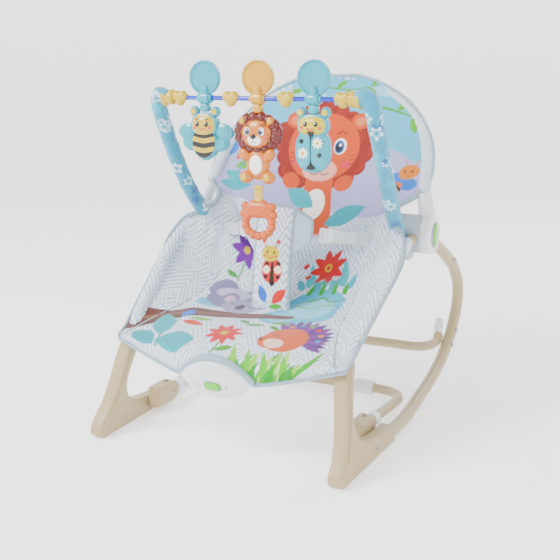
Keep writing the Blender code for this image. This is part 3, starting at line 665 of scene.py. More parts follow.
def build_hubs():
    for word, side in SIDES:
        housing = Model("hub_shell_" + word)
        housing.turned([(0, 0.0200), (0.0004, 0.0245), (0.0025, 0.0285), (0.0060, 0.0302), (0.0120, 0.0305),
                        (0.0400, 0.0305), (0.0430, 0.0303), (0.0445, 0.0292)],
                       (side * 0.160, *HUB), (side, 0, 0), GREY, 56)
        housing.pad(oval(0.016, 0.014, 28, power=3), 0.022, (side * 0.1815, 0.312, 0.272), GREY, "side",
                    0.1, 0.003)
        housing.done("base", "white_plastic", ("hub_housing_" + word,))
        cap = Model("hub_cap_" + word)
        cap.turned([(0, 0.0250), (0.0002, 0.0308), (0.0030, 0.0315), (0.0120, 0.0315), (0.0150, 0.0306),
                    (0.0168, 0.0285), (0.0174, 0.0255), (0.0175, 0.0212), (0.0168, 0.0207), (0.0163, 0.0202),
                    (0.0160, 0.0196)],
                   (side * 0.205, *HUB), (side, 0, 0), WHITE, 64)
        sleeve = [(0.2085, 0.3380, 0.3080), (0.2060, 0.3440, 0.3240), (0.2005, 0.3515, 0.3440),
                  (0.1972, 0.3560, 0.3560)]
        cap.tube(mirrored(sleeve, side), lambda share, a: 0.0142 - 0.0022 * share, WHITE, 24)
        screw(cap, (side * 0.2135, 0.3490, 0.3370), (side, 0.05, 0.1), 0.0034)
        rim = oval(0.0131, 0.0200, 40)
        cap.tube([(side * 0.2222, HUB[0] + y, HUB[1] + z) for y, z in rim + rim[:2]], 0.0011, GREY, 10, 1)
        cap.done("backrest", "white_plastic", ("back_socket_" + word,))
        button = Model("recline_button_" + word)
        button.pad(oval(0.0117, 0.0187, 40), 0.0042, (side * 0.2230, *HUB), LIME, "side", 0.5, 0.0014)
        button.done("hub_button_" + word, "lime_plastic", ("hub_button_" + word,))


MODULE = Vector((0.0, 0.0260, 0.1180))
MODULE_LEAN = math.radians(15)


def almond(half_width, half_height, count=24):
    radius = (half_width ** 2 + half_height ** 2) / (2 * half_height)
    reach = math.asin(half_width / radius)
    upper = []
    for step in range(count + 1):
        angle = reach * (1 - 2 * step / count)
        upper.append((radius * math.sin(angle), radius * math.cos(angle) - radius + half_height))
    return upper + [(-x, -z) for x, z in upper[1:-1]]


def build_module():
    """The almond-shaped vibration module: a domed white face, a rim and an oval rocker switch."""
    rows = []
    for share, depth in ((0.02, 0.0120), (0.25, 0.0119), (0.45, 0.0115), (0.62, 0.0108), (0.76, 0.0097),
                         (0.87, 0.0082), (0.95, 0.0062), (0.985, 0.0042), (1.0, 0.0022), (1.0, 0.0002)):
        rows.append((share, depth))
    outline = almond(0.0590, 0.0310)
    lean = Matrix.Rotation(MODULE_LEAN, 3, "X")
    front = Model("module_face")
    verts = [lean @ Vector((x * share, -depth, z * share)) + MODULE for share, depth in rows
             for x, z in outline]
    count = len(outline)
    faces = [(i * count + k, i * count + (k + 1) % count, (i + 1) * count + (k + 1) % count,
              (i + 1) * count + k)
             for i in range(len(rows) - 1) for k in range(count)]
    faces.append(tuple(range(count)))
    front.take(verts, faces, WHITE)
    ring = oval(0.0140, 0.0074, 40, (0, -0.0045), 3.0)
    rim = [lean @ Vector((x, -0.0121, z)) + MODULE for x, z in ring + ring[:2]]
    front.take(*sweep(rim, 0.0009, 10), GREY)
    for x, kind in ((-0.0215, "ring"), (0.0225, "star")):
        centre = lean @ Vector((x, -0.01145, -0.0045)) + MODULE
        if kind == "ring":
            loop = [centre + lean @ Vector((0.0019 * math.cos(a), 0, 0.0026 * math.sin(a)))
                    for a in np.linspace(0, 2 * math.pi, 20)]
            front.take(*sweep(loop, 0.00032, 6), RED)
        else:
            for a in (0, 60, 120):
                arm = Vector((0.0022 * math.cos(math.radians(a)), 0, 0.0022 * math.sin(math.radians(a))))
                front.take(*sweep([centre - lean @ arm, centre + lean @ arm], 0.00032, 6), RED)
    front.done("base", "white_plastic", ("module_front_shell",), 55)
    button = Model("switch_cap")
    button.pad(oval(0.0126, 0.0060, 40, power=3.0), 0.0046, (0, 0, 0), LIME, "front", 0.5, 0.0014)
    place = lean @ Vector((0, -0.0129, -0.0045)) + MODULE
    button.verts = [lean @ (v - Vector((0, TOE_Y, 0))) + place + Vector((0, TOE_Y, 0)) for v in button.verts]
    button.done("switch", "lime_plastic", ("switch_button",))


build_stage()
build_frame()
paint_cad()
build_stand_pads()
build_hubs()
build_module()


# ------------------------------------------------------------------ the seat fabric: shape

# Rows of the fabric from the front to the top of the back: the middle (Y, Z) and the edge (X, Y, Z).
ROWS = [
    ((0.0380, 0.1575), (0.1890, 0.0640, 0.1560)),
    ((0.0600, 0.1630), (0.1905, 0.0790, 0.1640)),
    ((0.1000, 0.1700), (0.1945, 0.1120, 0.1890)),
    ((0.1500, 0.1730), (0.1990, 0.1580, 0.2230)),
    ((0.2000, 0.1770), (0.2040, 0.2050, 0.2570)),
    ((0.2400, 0.1870), (0.2050, 0.2300, 0.2800)),
    ((0.2680, 0.2090), (0.1930, 0.2600, 0.3070)),
    ((0.3000, 0.2450), (0.1620, 0.2950, 0.3270)),
    ((0.3300, 0.2840), (0.1640, 0.3220, 0.3440)),
    ((0.3520, 0.3150), (0.1860, 0.3430, 0.3560)),
    ((0.3760, 0.3550), (0.2010, 0.3680, 0.3800)),
    ((0.3960, 0.3920), (0.2000, 0.3880, 0.4080)),
    ((0.4130, 0.4300), (0.1890, 0.4100, 0.4400)),
    ((0.4270, 0.4680), (0.1660, 0.4270, 0.4730)),
    ((0.4380, 0.5030), (0.1300, 0.4400, 0.5060)),
    ((0.4440, 0.5270), (0.0860, 0.4470, 0.5300)),
    ((0.4520, 0.5420), (0.0400, 0.4530, 0.5430)),
]
# Share of the half width where the wings are sewn to the seat, at the rows from -1 to 7.
SEAM_ROWS = (0.97, 0.93, 0.88, 0.79, 0.70, 0.645, 0.62, 0.62, 0.66)
LAST_WING_ROW = 5.6
THICK = 0.006


def seam(v):
    return float(np.interp(v, np.arange(len(SEAM_ROWS)) - 1.0, SEAM_ROWS))


def hem(x):
    """The front hem: an arc over the module, then a run out to the corner of the seat."""
    wide = abs(x)
    if wide < 0.0590:
        lift = 0.0335 * (1 - (wide / 0.0590) ** 2)
        return Vector((x, 0.0290 - 0.2588 * lift, 0.1165 + 0.966 * lift))
    out = (wide - 0.0590) / 0.1290
    return Vector((x, 0.0290 + 0.0260 * out, 0.1165 + 0.0305 * out ** 1.2))


def catmull(rows, v):
    """Values between rows of numbers, on a smooth curve through them."""
    i = min(int(v), len(rows) - 2)
    t = v - i
    a, b = rows[max(i - 1, 0)], rows[i]
    c, d = rows[i + 1], rows[min(i + 2, len(rows) - 1)]
    return [smooth_step(p, q, r, s, t) for p, q, r, s in zip(a, b, c, d)]


FLAT_ROWS = [(*middle, *edge) for middle, edge in ROWS]


def sling(u, v):
    """A point of the fabric: u from -1 to 1 across, v from -1 at the hem to the last of ROWS."""
    def inner(w):
        my, mz, ex, ey, ez = catmull(FLAT_ROWS, w)
        wide = abs(u)
        open_rise = wide ** 2.6
        sewn = seam(w)
        if wide <= sewn:
            rise = 0.20 * (wide / sewn) ** 2.2
        else:
            rise = 0.20 + 0.80 * ((wide - sewn) / (1 - sewn)) ** 1.08
        fade = min(max((w - 5.0) / 2.0, 0.0), 1.0)
        fade = fade * fade * (3 - 2 * fade)
        rise = rise + (open_rise - rise) * fade
        return Vector((u * ex, my + (ey - my) * rise, mz + (ez - mz) * rise))
    if v >= 0:
        return inner(v)
    top, low = inner(0.0), hem(u * 0.1885)
    ahead = inner(0.0) - inner(0.25)
    out = (low - top).length
    bow = top + ahead.normalized() * out * 0.45
    t = -v
    low_bow = low + Vector((0, -0.002, 0.010 if abs(u) > 0.32 else 0.003))
    return (top * (1 - t) ** 3 + bow * 3 * t * (1 - t) ** 2 + low_bow * 3 * t * t * (1 - t) + low * t ** 3)


def row_places(step):
    """Values of v that are an even step apart along the middle of the fabric."""
    fine = np.linspace(-1, len(ROWS) - 1, 400)
    line = [sling(0.45, v) for v in fine]
    lengths = np.concatenate(([0], np.cumsum([(b - a).length for a, b in zip(line, line[1:])])))
    count = int(lengths[-1] / step)
    wanted = np.linspace(0, lengths[-1], count + 1)
    return np.interp(wanted, lengths, fine), wanted


COLUMNS = 64
V_PLACES, ALONG = row_places(0.0064)
U_PLACES = np.linspace(-1, 1, COLUMNS + 1)


def sling_grid():
    grid = np.array([[tuple(sling(u, v)) for u in U_PLACES] for v in V_PLACES])
    grid[:, :, 1] += TOE_Y
    step_u = np.gradient(grid, axis=1)
    step_v = np.gradient(grid, axis=0)
    normal = np.cross(step_u, step_v)
    normal /= np.linalg.norm(normal, axis=2, keepdims=True)
    return grid, normal


def across_lengths(grid):
    """Signed distance over the cloth from the middle line, for each row."""
    steps = np.linalg.norm(np.diff(grid, axis=1), axis=2)
    total = np.concatenate((np.zeros((len(grid), 1)), np.cumsum(steps, axis=1)), axis=1)
    return total - total[:, COLUMNS // 2][:, None]


def padding_pins(u, v):
    """1 where the fabric is sewn or held by a tube, 0 where the padding may swell."""
    wide = abs(u)
    held = 0.0
    if wide > 0.955 or v < -0.9 or v > len(ROWS) - 1.6:
        held = 1.0
    if v < LAST_WING_ROW and abs(wide - seam(v)) < 0.018:
        held = 1.0
    if v < 0.3:
        held = max(held, 0.5)
    if abs(v - 6.35) < 0.14 and wide < 0.8:
        held = 1.0
    if 6.35 < v and wide > 0.80 and abs(wide - 0.86) < 0.02:
        held = max(held, 0.8)
    return held


def simulate(obj, pins, pressure, cap, frames=20):
    """Swells the padding by a cloth simulation, and keeps every point within cap of its start."""
    start = np.empty(len(obj.data.vertices) * 3)
    obj.data.vertices.foreach_get("co", start)
    start = start.reshape(-1, 3)
    group = obj.vertex_groups.new(name="held")
    for index, weight in pins.items():
        group.add([index], weight, "REPLACE")
    cloth = obj.modifiers.new("padding", "CLOTH")
    cloth.settings.quality = 5
    cloth.settings.mass = 0.3
    cloth.settings.tension_stiffness = 25
    cloth.settings.compression_stiffness = 12
    cloth.settings.bending_stiffness = 0.8
    cloth.settings.use_pressure = True
    cloth.settings.uniform_pressure_force = pressure
    cloth.settings.vertex_group_mass = "held"
    cloth.settings.effector_weights.gravity = 0
    cloth.point_cache.frame_start = 1
    cloth.point_cache.frame_end = frames
    scene = bpy.context.scene
    for number in range(1, frames + 1):
        scene.frame_set(number)
    graph = bpy.context.evaluated_depsgraph_get()
    mesh = obj.evaluated_get(graph).to_mesh()
    now = np.empty(len(mesh.vertices) * 3)
    mesh.vertices.foreach_get("co", now)
    now = now.reshape(-1, 3)
    obj.evaluated_get(graph).to_mesh_clear()
    obj.modifiers.remove(cloth)
    scene.frame_set(1)
    move = now - start
    size = np.linalg.norm(move, axis=1, keepdims=True)
    return start + move * np.minimum(1.0, cap / np.maximum(size, 1e-9))


# ------------------------------------------------------------------ printing on cloth

class Dye:
    """Colours laid over each other at points (x, y) of a cloth, in metres."""

    def __init__(self, x, y, ground, soft=0.0009):
        self.x, self.y, self.soft = x, y, soft
        self.rgb = np.tile(np.array(tint(ground)), (len(x), 1))

    def lay(self, distance, code, strength=1.0):
        """Colour where distance is negative, with a soft edge."""
        cover = np.clip(0.5 - distance / self.soft, 0, 1) * strength
        self.rgb += (np.array(tint(code)) - self.rgb) * cover[:, None]

    def turned(self, place, turn):
        dx, dy = self.x - place[0], self.y - place[1]
        c, s = math.cos(math.radians(turn)), math.sin(math.radians(turn))
        return dx * c + dy * s, -dx * s + dy * c

    def ellipse(self, place, size, code, turn=0, strength=1.0):
        px, py = self.turned(place, turn)
        self.lay((np.hypot(px / size[0], py / size[1]) - 1) * min(size), code, strength)

    def leaf(self, place, length, width, code, turn, vein=None, point=1.0):
        px, py = self.turned(place, turn)
        share = np.clip(px / length, 0, 1)
        half = width / 2 * np.sin(np.pi * share ** point) ** 0.8
        out = np.abs(py) - half
        out = np.where((px < 0) | (px > length), np.maximum(out, np.maximum(-px, px - length)), out)
        self.lay(out, code)
        if vein:
            inside = out < -0.0006
            ribs = np.abs(np.mod(px - np.abs(py) * 0.9, length / 6) - length / 12) - 0.0005
            ribs = np.minimum(ribs, np.abs(py) - 0.0006)
            self.lay(np.where(inside, ribs, 1.0), vein, 0.8)

    def flower(self, place, count, length, width, code, heart, turn=0, vein=None):
        for k in range(count):
            self.leaf(place, length, width, code, turn + 360 * k / count, vein, 0.85)
        self.ellipse(place, (length * 0.2, length * 0.2), heart)

    def stroke(self, points, width, code, end_width=None):
        """A brush stroke along a line of points, which may taper."""
        end_width = width if end_width is None else end_width
        points = [np.array(p, float) for p in points]
        fine = []
        for i in range(len(points) - 1):
            p0, p1 = points[max(i - 1, 0)], points[i]
            p2, p3 = points[i + 1], points[min(i + 2, len(points) - 1)]
            for t in np.linspace(0, 1, 6, endpoint=False):
                fine.append(0.5 * (2 * p1 + (p2 - p0) * t + (2 * p0 - 5 * p1 + 4 * p2 - p3) * t * t
                                   + (3 * p1 - p0 - 3 * p2 + p3) * t ** 3))
        fine.append(points[-1])
        best = np.full(len(self.x), 1.0)
        for i, (a, b) in enumerate(zip(fine, fine[1:])):
            run = b - a
            t = np.clip(((self.x - a[0]) * run[0] + (self.y - a[1]) * run[1]) / max(run @ run, 1e-12), 0, 1)
            share = (i + t) / (len(fine) - 1)
            half = (width + (end_width - width) * share) / 2
            best = np.minimum(best, np.hypot(self.x - a[0] - run[0] * t, self.y - a[1] - run[1] * t) - half)
        self.lay(best, code)

    def curl(self, place, radius, code, line):
        """A round lock of hair with a spiral in it."""
        px, py = self.turned(place, 0)
        far = np.hypot(px, py)
        self.lay(far - radius, code)
        gap = radius * 0.42
        spiral = np.abs(np.mod(far / gap - np.arctan2(py, px) / (2 * np.pi), 1) - 0.5) * gap
        self.lay(np.where(far < radius * 0.80, spiral - 0.0007, 1.0), line)

    def star(self, place, size, code, points=8, turn=0.0, inner=0.55):
        px, py = self.turned(place, turn)
        angle = np.arctan2(py, px)
        wave = np.abs(np.mod(angle * points / (2 * np.pi), 1) - 0.5) * 2
        self.lay(np.hypot(px, py) - size * (inner + (1 - inner) * wave), code)

    def chevrons(self, where, line="#BFC6D6", pitch=0.0128):
        """Columns of nested chevrons in pale grey lines."""
        column = 0.046
        index = np.floor(self.x / column)
        inside = np.abs(np.mod(self.x / column, 1) - 0.5) * 2
        steep = np.where(np.mod(index, 2) < 0.5, 1.0, -1.0)
        value = self.y + 0.038 * inside
        nest = np.mod(value / pitch, 1)
        lines = (np.abs(nest - 0.5) - 0.20) * pitch
        block = np.mod(value / (pitch * 4) + 0.5 * steep, 2)
        cross = (np.abs(np.mod((self.y - 0.038 * inside) / pitch, 1) - 0.5) - 0.20) * pitch
        lines = np.where((block > 1.25) & (block < 1.9), cross, lines)
        self.lay(np.where(where, lines, 1.0), line, 0.85)


def hair_ring(dye, centre, radii, count, curl, code, line):
    for k in range(count):
        a = 2 * math.pi * (k + 0.5) / count
        wobble = 1.0 + 0.06 * math.sin(5 * a)
        dye.curl((centre[0] + radii[0] * wobble * math.cos(a), centre[1] + radii[1] * wobble * math.sin(a)),
                 curl * (1.0 + 0.12 * math.cos(3 * a)), code, line)


BACK_START = 9                   # the row where the print of the back begins


def back_print(dye):
    """Sky, hills, branches, leaves and a lion, with a bee beside it. y is counted up the back."""
    inside = dye.y > -0.030
    hills = 0.112 + 0.016 * np.sin(dye.x * 26 + 0.6) + 0.010 * np.sin(dye.x * 61)
    dye.lay(np.where(inside, -dye.y - 0.030, 1.0), "#A9DBF4")
    dye.ellipse((-0.060, 0.215), (0.050, 0.016), "#C9EAF8")
    dye.ellipse((0.100, 0.225), (0.036, 0.012), "#C9EAF8")
    dye.lay(np.where(inside, dye.y - hills, 1.0), "#C7C6DE")
    low = -0.012 + 0.010 * np.sin(dye.x * 38)
    dye.lay(dye.y - low, "#E8EEF2")
    dye.chevrons(dye.y < low)
    dye.stroke([(-0.075, 0.225), (-0.02, 0.232), (0.030, 0.226), (0.082, 0.236)], 0.0050, "#7FB542", 0.0026)
    dye.stroke([(0.098, 0.190), (0.130, 0.181), (0.168, 0.166)], 0.0055, "#7FB542", 0.0026)
    for place, turn, size in (((-0.055, 0.226), 200, 0.026), ((-0.030, 0.230), 250, 0.028),
                              ((0.010, 0.228), 60, 0.028),
                              ((0.030, 0.227), 285, 0.030), ((0.060, 0.232), 325, 0.026),
                              ((0.072, 0.234), 70, 0.024),
                              ((0.122, 0.184), 50, 0.028), ((0.150, 0.174), 285, 0.034),
                              ((0.166, 0.167), 350, 0.022)):
        dye.leaf(place, size, size * 0.42, "#8CC63F", turn, "#5E9E36")
    dye.leaf((-0.178, 0.085), 0.034, 0.015, "#4AA3E6", 75, "#79C2F0")
    dye.leaf((-0.165, 0.078), 0.036, 0.016, "#F08D6E", 45, "#F6B59D")
    dye.leaf((-0.160, 0.062), 0.036, 0.016, "#9CCB4A", 25, "#6EA83A")
    dye.stroke([(-0.150, 0.030), (-0.150, 0.060), (-0.140, 0.085)], 0.003, "#57BCC6")
    dye.leaf((-0.182, 0.020), 0.062, 0.030, "#6CCBD3", 12, "#3FAEBB")
    dye.leaf((-0.178, 0.050), 0.046, 0.024, "#6CCBD3", -18, "#3FAEBB")
    hair_ring(dye, (0.000, 0.118), (0.079, 0.066), 17, 0.0175, "#A4553F", "#C27A5C")
    dye.ellipse((0.0, 0.118), (0.082, 0.066), "#A4553F")
    hair_ring(dye, (0.000, 0.122), (0.062, 0.058), 13, 0.0120, "#A4553F", "#C27A5C")
    dye.stroke([(0.004, 0.052), (0.006, 0.020), (0.014, -0.040)], 0.050, "#F3957A", 0.060)
    for side in (-1, 1):
        dye.ellipse((side * 0.049, 0.052), (0.017, 0.014), "#F3957A", 30 * side)
        dye.ellipse((side * 0.061, 0.164), (0.0160, 0.0150), "#F3957A")
        dye.ellipse((side * 0.061, 0.163), (0.0090, 0.0085), "#F9B7A2")
    dye.ellipse((0.004, 0.012), (0.019, 0.028), "#FBF7F4")
    dye.ellipse((0.0, 0.116), (0.066, 0.062), "#F3957A")
    for side in (-1, 1):
        dye.ellipse((side * 0.030, 0.118), (0.0115, 0.0145), "#FFFFFF")
        dye.ellipse((side * 0.029, 0.117), (0.0090, 0.0120), "#5B86B0")
        dye.ellipse((side * 0.028, 0.116), (0.0060, 0.0085), "#2A3148")
        dye.ellipse((side * 0.028 + 0.002, 0.1205), (0.0024, 0.0028), "#FFFFFF")
        dye.stroke([(side * 0.022, 0.1405), (side * 0.030, 0.1450), (side * 0.039, 0.1415)], 0.0022,
                   "#8C4A38")
        dye.ellipse((side * 0.046, 0.086), (0.0095, 0.0065), "#F58D92")
        for k in (-1, 0, 1):
            dye.stroke([(side * 0.052, 0.094 + k * 0.007), (side * 0.062, 0.096 + k * 0.008)], 0.0014,
                       "#A4553F")
    dye.ellipse((0.0, 0.074), (0.032, 0.020), "#FACFC6")
    dye.ellipse((0.0, 0.092), (0.0125, 0.0085), "#5C3A3C")
    dye.stroke([(0.0, 0.084), (0.0, 0.072)], 0.0016, "#5C3A3C")
    for side in (-1, 1):
        dye.stroke([(0.0, 0.072), (side * 0.008, 0.066), (side * 0.017, 0.069)], 0.0016, "#5C3A3C")
    dye.leaf((-0.050, 0.036), 0.060, 0.032, "#6CCBD3", -28, "#3FAEBB")
    dye.leaf((0.032, -0.024), 0.074, 0.036, "#52BFC9", 26, "#35A3B1")
    bee = (0.163, 0.068)
    dye.ellipse((bee[0] + 0.002, bee[1] - 0.024), (0.019, 0.013), "#5FA8E6", -30)
    dye.ellipse((bee[0] - 0.022, bee[1] - 0.010), (0.016, 0.010), "#5FA8E6", 30)
    dye.ellipse((bee[0] - 0.023, bee[1] - 0.034), (0.019, 0.0125), "#F2A33C", 40)
    for k in (-0.010, 0.0, 0.010):
        px = bee[0] - 0.023 + k * 0.77
        py = bee[1] - 0.034 + k * 0.64
        dye.stroke([(px - 0.007, py + 0.009), (px + 0.007, py - 0.009)], 0.0042, "#37302E")
    dye.ellipse(bee, (0.0175, 0.0145), "#F6B255", 15)
    for dx in (-0.007, 0.005):
        dye.ellipse((bee[0] + dx, bee[1] + 0.002), (0.0018, 0.0024), "#37302E")
    for dx in (-0.008, 0.012):
        dye.stroke([(bee[0] + dx * 0.6, bee[1] + 0.012), (bee[0] + dx, bee[1] + 0.022)], 0.0026, "#F6B255")


def seat_print(dye):
    """Leaves, a branch with a sleepy animal, flowers, a pond and grass. y is counted from the hem."""
    wing = np.abs(dye.x) > 0.118
    inner = ~wing
    pond = np.hypot((dye.x - 0.070) / 0.058, (dye.y - 0.205) / 0.060) - 1
    pond = np.minimum(pond, np.hypot((dye.x - 0.034) / 0.034, (dye.y - 0.168) / 0.030) - 1)
    dye.lay(np.where(inner, pond * 0.03, 1.0), "#9AD8F3")
    dye.lay(np.where(inner, (pond + 0.35) * 0.03, 1.0), "#BDE8F8")
    dye.ellipse((-0.090, 0.185), (0.034, 0.016), "#A9DBF4", 20)
    for spot, size in (((-0.068, 0.206), (0.046, 0.034)), ((-0.100, 0.232), (0.026, 0.026)),
                       ((-0.040, 0.222), (0.034, 0.026))):
        dye.ellipse(spot, size, "#9A97AD")
    dye.ellipse((-0.078, 0.226), (0.030, 0.016), "#C9C7D6", 8)
    dye.stroke([(-0.210, 0.062), (-0.150, 0.104), (-0.100, 0.136), (-0.045, 0.150), (0.010, 0.166),
                (0.050, 0.172)],
               0.046, "#7C564C", 0.014)
    dye.stroke([(-0.190, 0.076), (-0.120, 0.128), (-0.060, 0.148), (0.000, 0.164)], 0.007, "#9C7B6C", 0.003)
    dye.stroke([(-0.190, 0.058), (-0.120, 0.110), (-0.070, 0.136)], 0.004, "#62433B", 0.002)
    koala = (-0.046, 0.190)
    for side in (-1, 1):
        dye.ellipse((koala[0] + side * 0.030, koala[1] + 0.020), (0.0150, 0.0190), "#9A97AD")
        dye.ellipse((koala[0] + side * 0.030, koala[1] + 0.020), (0.0085, 0.0115), "#DCC9D8")
    dye.ellipse(koala, (0.031, 0.029), "#B3B1C4")
    dye.ellipse((koala[0], koala[1] - 0.002), (0.0070, 0.0125), "#4E4A58")
    for side in (-1, 1):
        dye.stroke([(koala[0] + side * 0.011, koala[1] + 0.008), (koala[0] + side * 0.015, koala[1] + 0.004),
                    (koala[0] + side * 0.020, koala[1] + 0.008)], 0.0022, "#4E4A58")
    dye.stroke([(-0.110, 0.030), (-0.112, 0.080), (-0.106, 0.118)], 0.0040, "#52BFC9", 0.0030)
    dye.leaf((-0.112, 0.056), 0.066, 0.036, "#6CCBD3", 112, "#3FAEBB")
    dye.leaf((-0.112, 0.040), 0.062, 0.046, "#6CCBD3", 16, "#3FAEBB")
    dye.leaf((-0.114, 0.034), 0.052, 0.036, "#52BFC9", 156, "#35A3B1")
    dye.leaf((-0.108, 0.114), 0.030, 0.020, "#3C9AE2", 78, "#76BDEE")
    dye.leaf((-0.100, 0.102), 0.042, 0.014, "#EE6B45", -8, "#F49A7C")
    dye.leaf((-0.096, 0.112), 0.044, 0.011, "#9CCB4A", 8)
    dye.stroke([(-0.014, 0.030), (-0.010, 0.060)], 0.0035, "#6EB04A")
    dye.leaf((-0.012, 0.040), 0.030, 0.013, "#7FBF4C", 25, "#5A9A38")
    dye.flower((-0.014, 0.082), 9, 0.030, 0.0125, "#F0684A", "#F9D46A", 10, "#C94A36")
    dye.leaf((0.000, 0.120), 0.032, 0.011, "#7FBF4C", 10, "#5A9A38")
    dye.leaf((0.004, 0.126), 0.024, 0.010, "#5FAE44", 150, "#4A8E35")
    dye.leaf((0.034, 0.138), 0.034, 0.013, "#7FBF4C", 12, "#5A9A38")
    dye.leaf((0.040, 0.128), 0.026, 0.011, "#5FAE44", -40, "#4A8E35")
    spikes = ["#8E4CA0", "#7A3F93", "#A25BB0"]
    for k in range(13):
        a = -28 + k * 13
        dye.leaf((0.092 + 0.012 * math.cos(math.radians(a)), 0.094 + 0.008 * math.sin(math.radians(a))),
                 0.040 + 0.016 * abs(math.sin(math.radians(a))), 0.015, spikes[k % 3], a)
    for k, code in enumerate(("#3FA9D8", "#F3B93E", "#E2504A", "#7FBF4C", "#3FA9D8", "#F3B93E")):
        a = math.radians(-5 + k * 26)
        dye.ellipse((0.094 + 0.035 * math.cos(a), 0.100 + 0.038 * math.sin(a)), (0.0040, 0.0044), code)
    dye.ellipse((0.082, 0.090), (0.033, 0.034), "#F49B7B")
    dye.ellipse((0.064, 0.078), (0.020, 0.018), "#F49B7B")
    dye.ellipse((0.070, 0.074), (0.015, 0.012), "#FBE3D8")
    dye.ellipse((0.047, 0.079), (0.0034, 0.0034), "#7A3B3B")
    dye.stroke([(0.060, 0.094), (0.065, 0.097), (0.070, 0.094)], 0.0016, "#7A3B3B")
    for k in range(15):
        x = 0.028 + k * 0.0072
        tall = 0.040 + 0.016 * math.sin(k * 2.3) + 0.010 * (k % 3)
        code = ("#8FCF5E", "#B6DF86", "#6DBB49", "#CFEBA6")[k % 4]
        dye.leaf((x, 0.004), tall, 0.011, code, 90 + 22 * math.sin(k * 1.7 + 0.4), None, 0.62)
    for k in range(11):
        x = 0.034 + k * 0.0092
        dye.leaf((x, 0.000), 0.026 + 0.006 * (k % 3), 0.009, ("#4FA63C", "#5DB346")[k % 2],
                 90 + 26 * math.sin(k * 2.1), None, 0.62)
    for base, tall in ((0.040, 0.030), (0.070, 0.036), (0.100, 0.030)):
        dye.leaf((base, 0.268), tall + 0.024, 0.016, "#8FD6DC", 96, None, 0.7)
        dye.leaf((base + 0.010, 0.262), tall, 0.013, "#6CCBD3", 66, None, 0.7)
        dye.leaf((base - 0.008, 0.262), tall, 0.013, "#6CCBD3", 120, None, 0.7)
    dye.stroke([(0.052, 0.236), (0.075, 0.246), (0.094, 0.232), (0.116, 0.240)], 0.0045, "#6EB04A", 0.003)
    dye.stroke([(0.040, 0.222), (0.062, 0.214), (0.086, 0.224), (0.112, 0.214)], 0.0036, "#86C25A", 0.003)
    for x in (0.044, 0.066, 0.090, 0.110):
        dye.leaf((x, 0.252), 0.026, 0.009, "#5DB346", 84 + 300 * (x - 0.07), None, 0.6)
    dye.stroke([(0.066, 0.262), (0.064, 0.300)], 0.0034, "#5DB346")
    dye.flower((0.064, 0.312), 8, 0.034, 0.0150, "#E9542F", "#F9D46A", 12, "#C03A26")
    dye.ellipse((0.064, 0.312), (0.0032, 0.0034), "#C8324A")
    dye.stroke([(-0.088, 0.262), (-0.092, 0.312)], 0.0030, "#6EB04A")
    dye.leaf((-0.090, 0.266), 0.026, 0.011, "#5DB346", 160, "#4A8E35")
    dye.flower((-0.092, 0.320), 7, 0.032, 0.0150, "#9B5FB5", "#F9D46A", 90, "#7D459B")
    for spot in ((0.024, 0.292), (0.018, 0.312)):
        dye.leaf(spot, 0.014, 0.008, "#E2504A", 40)


def dyed(mesh, rgb):
    """Store linear colours as the mesh's print."""
    layer = mesh.color_attributes.new("print", "FLOAT_COLOR", "POINT")
    full = np.ones((len(rgb), 4))
    full[:, :3] = rgb
    layer.data.foreach_set("color", full.reshape(-1))


def read_values(mesh, name):
    out = np.empty(len(mesh.vertices))
    mesh.attributes[name].data.foreach_get("value", out)
    return out


def refined(obj, levels):
    """The object's mesh after smooth subdivision, as a new mesh that keeps its stored values."""
    change = obj.modifiers.new("fine", "SUBSURF")
    change.levels = change.render_levels = levels
    change.boundary_smooth = "PRESERVE_CORNERS"
    graph = bpy.context.evaluated_depsgraph_get()
    mesh = bpy.data.meshes.new_from_object(obj.evaluated_get(graph))
    obj.modifiers.remove(change)
    return mesh


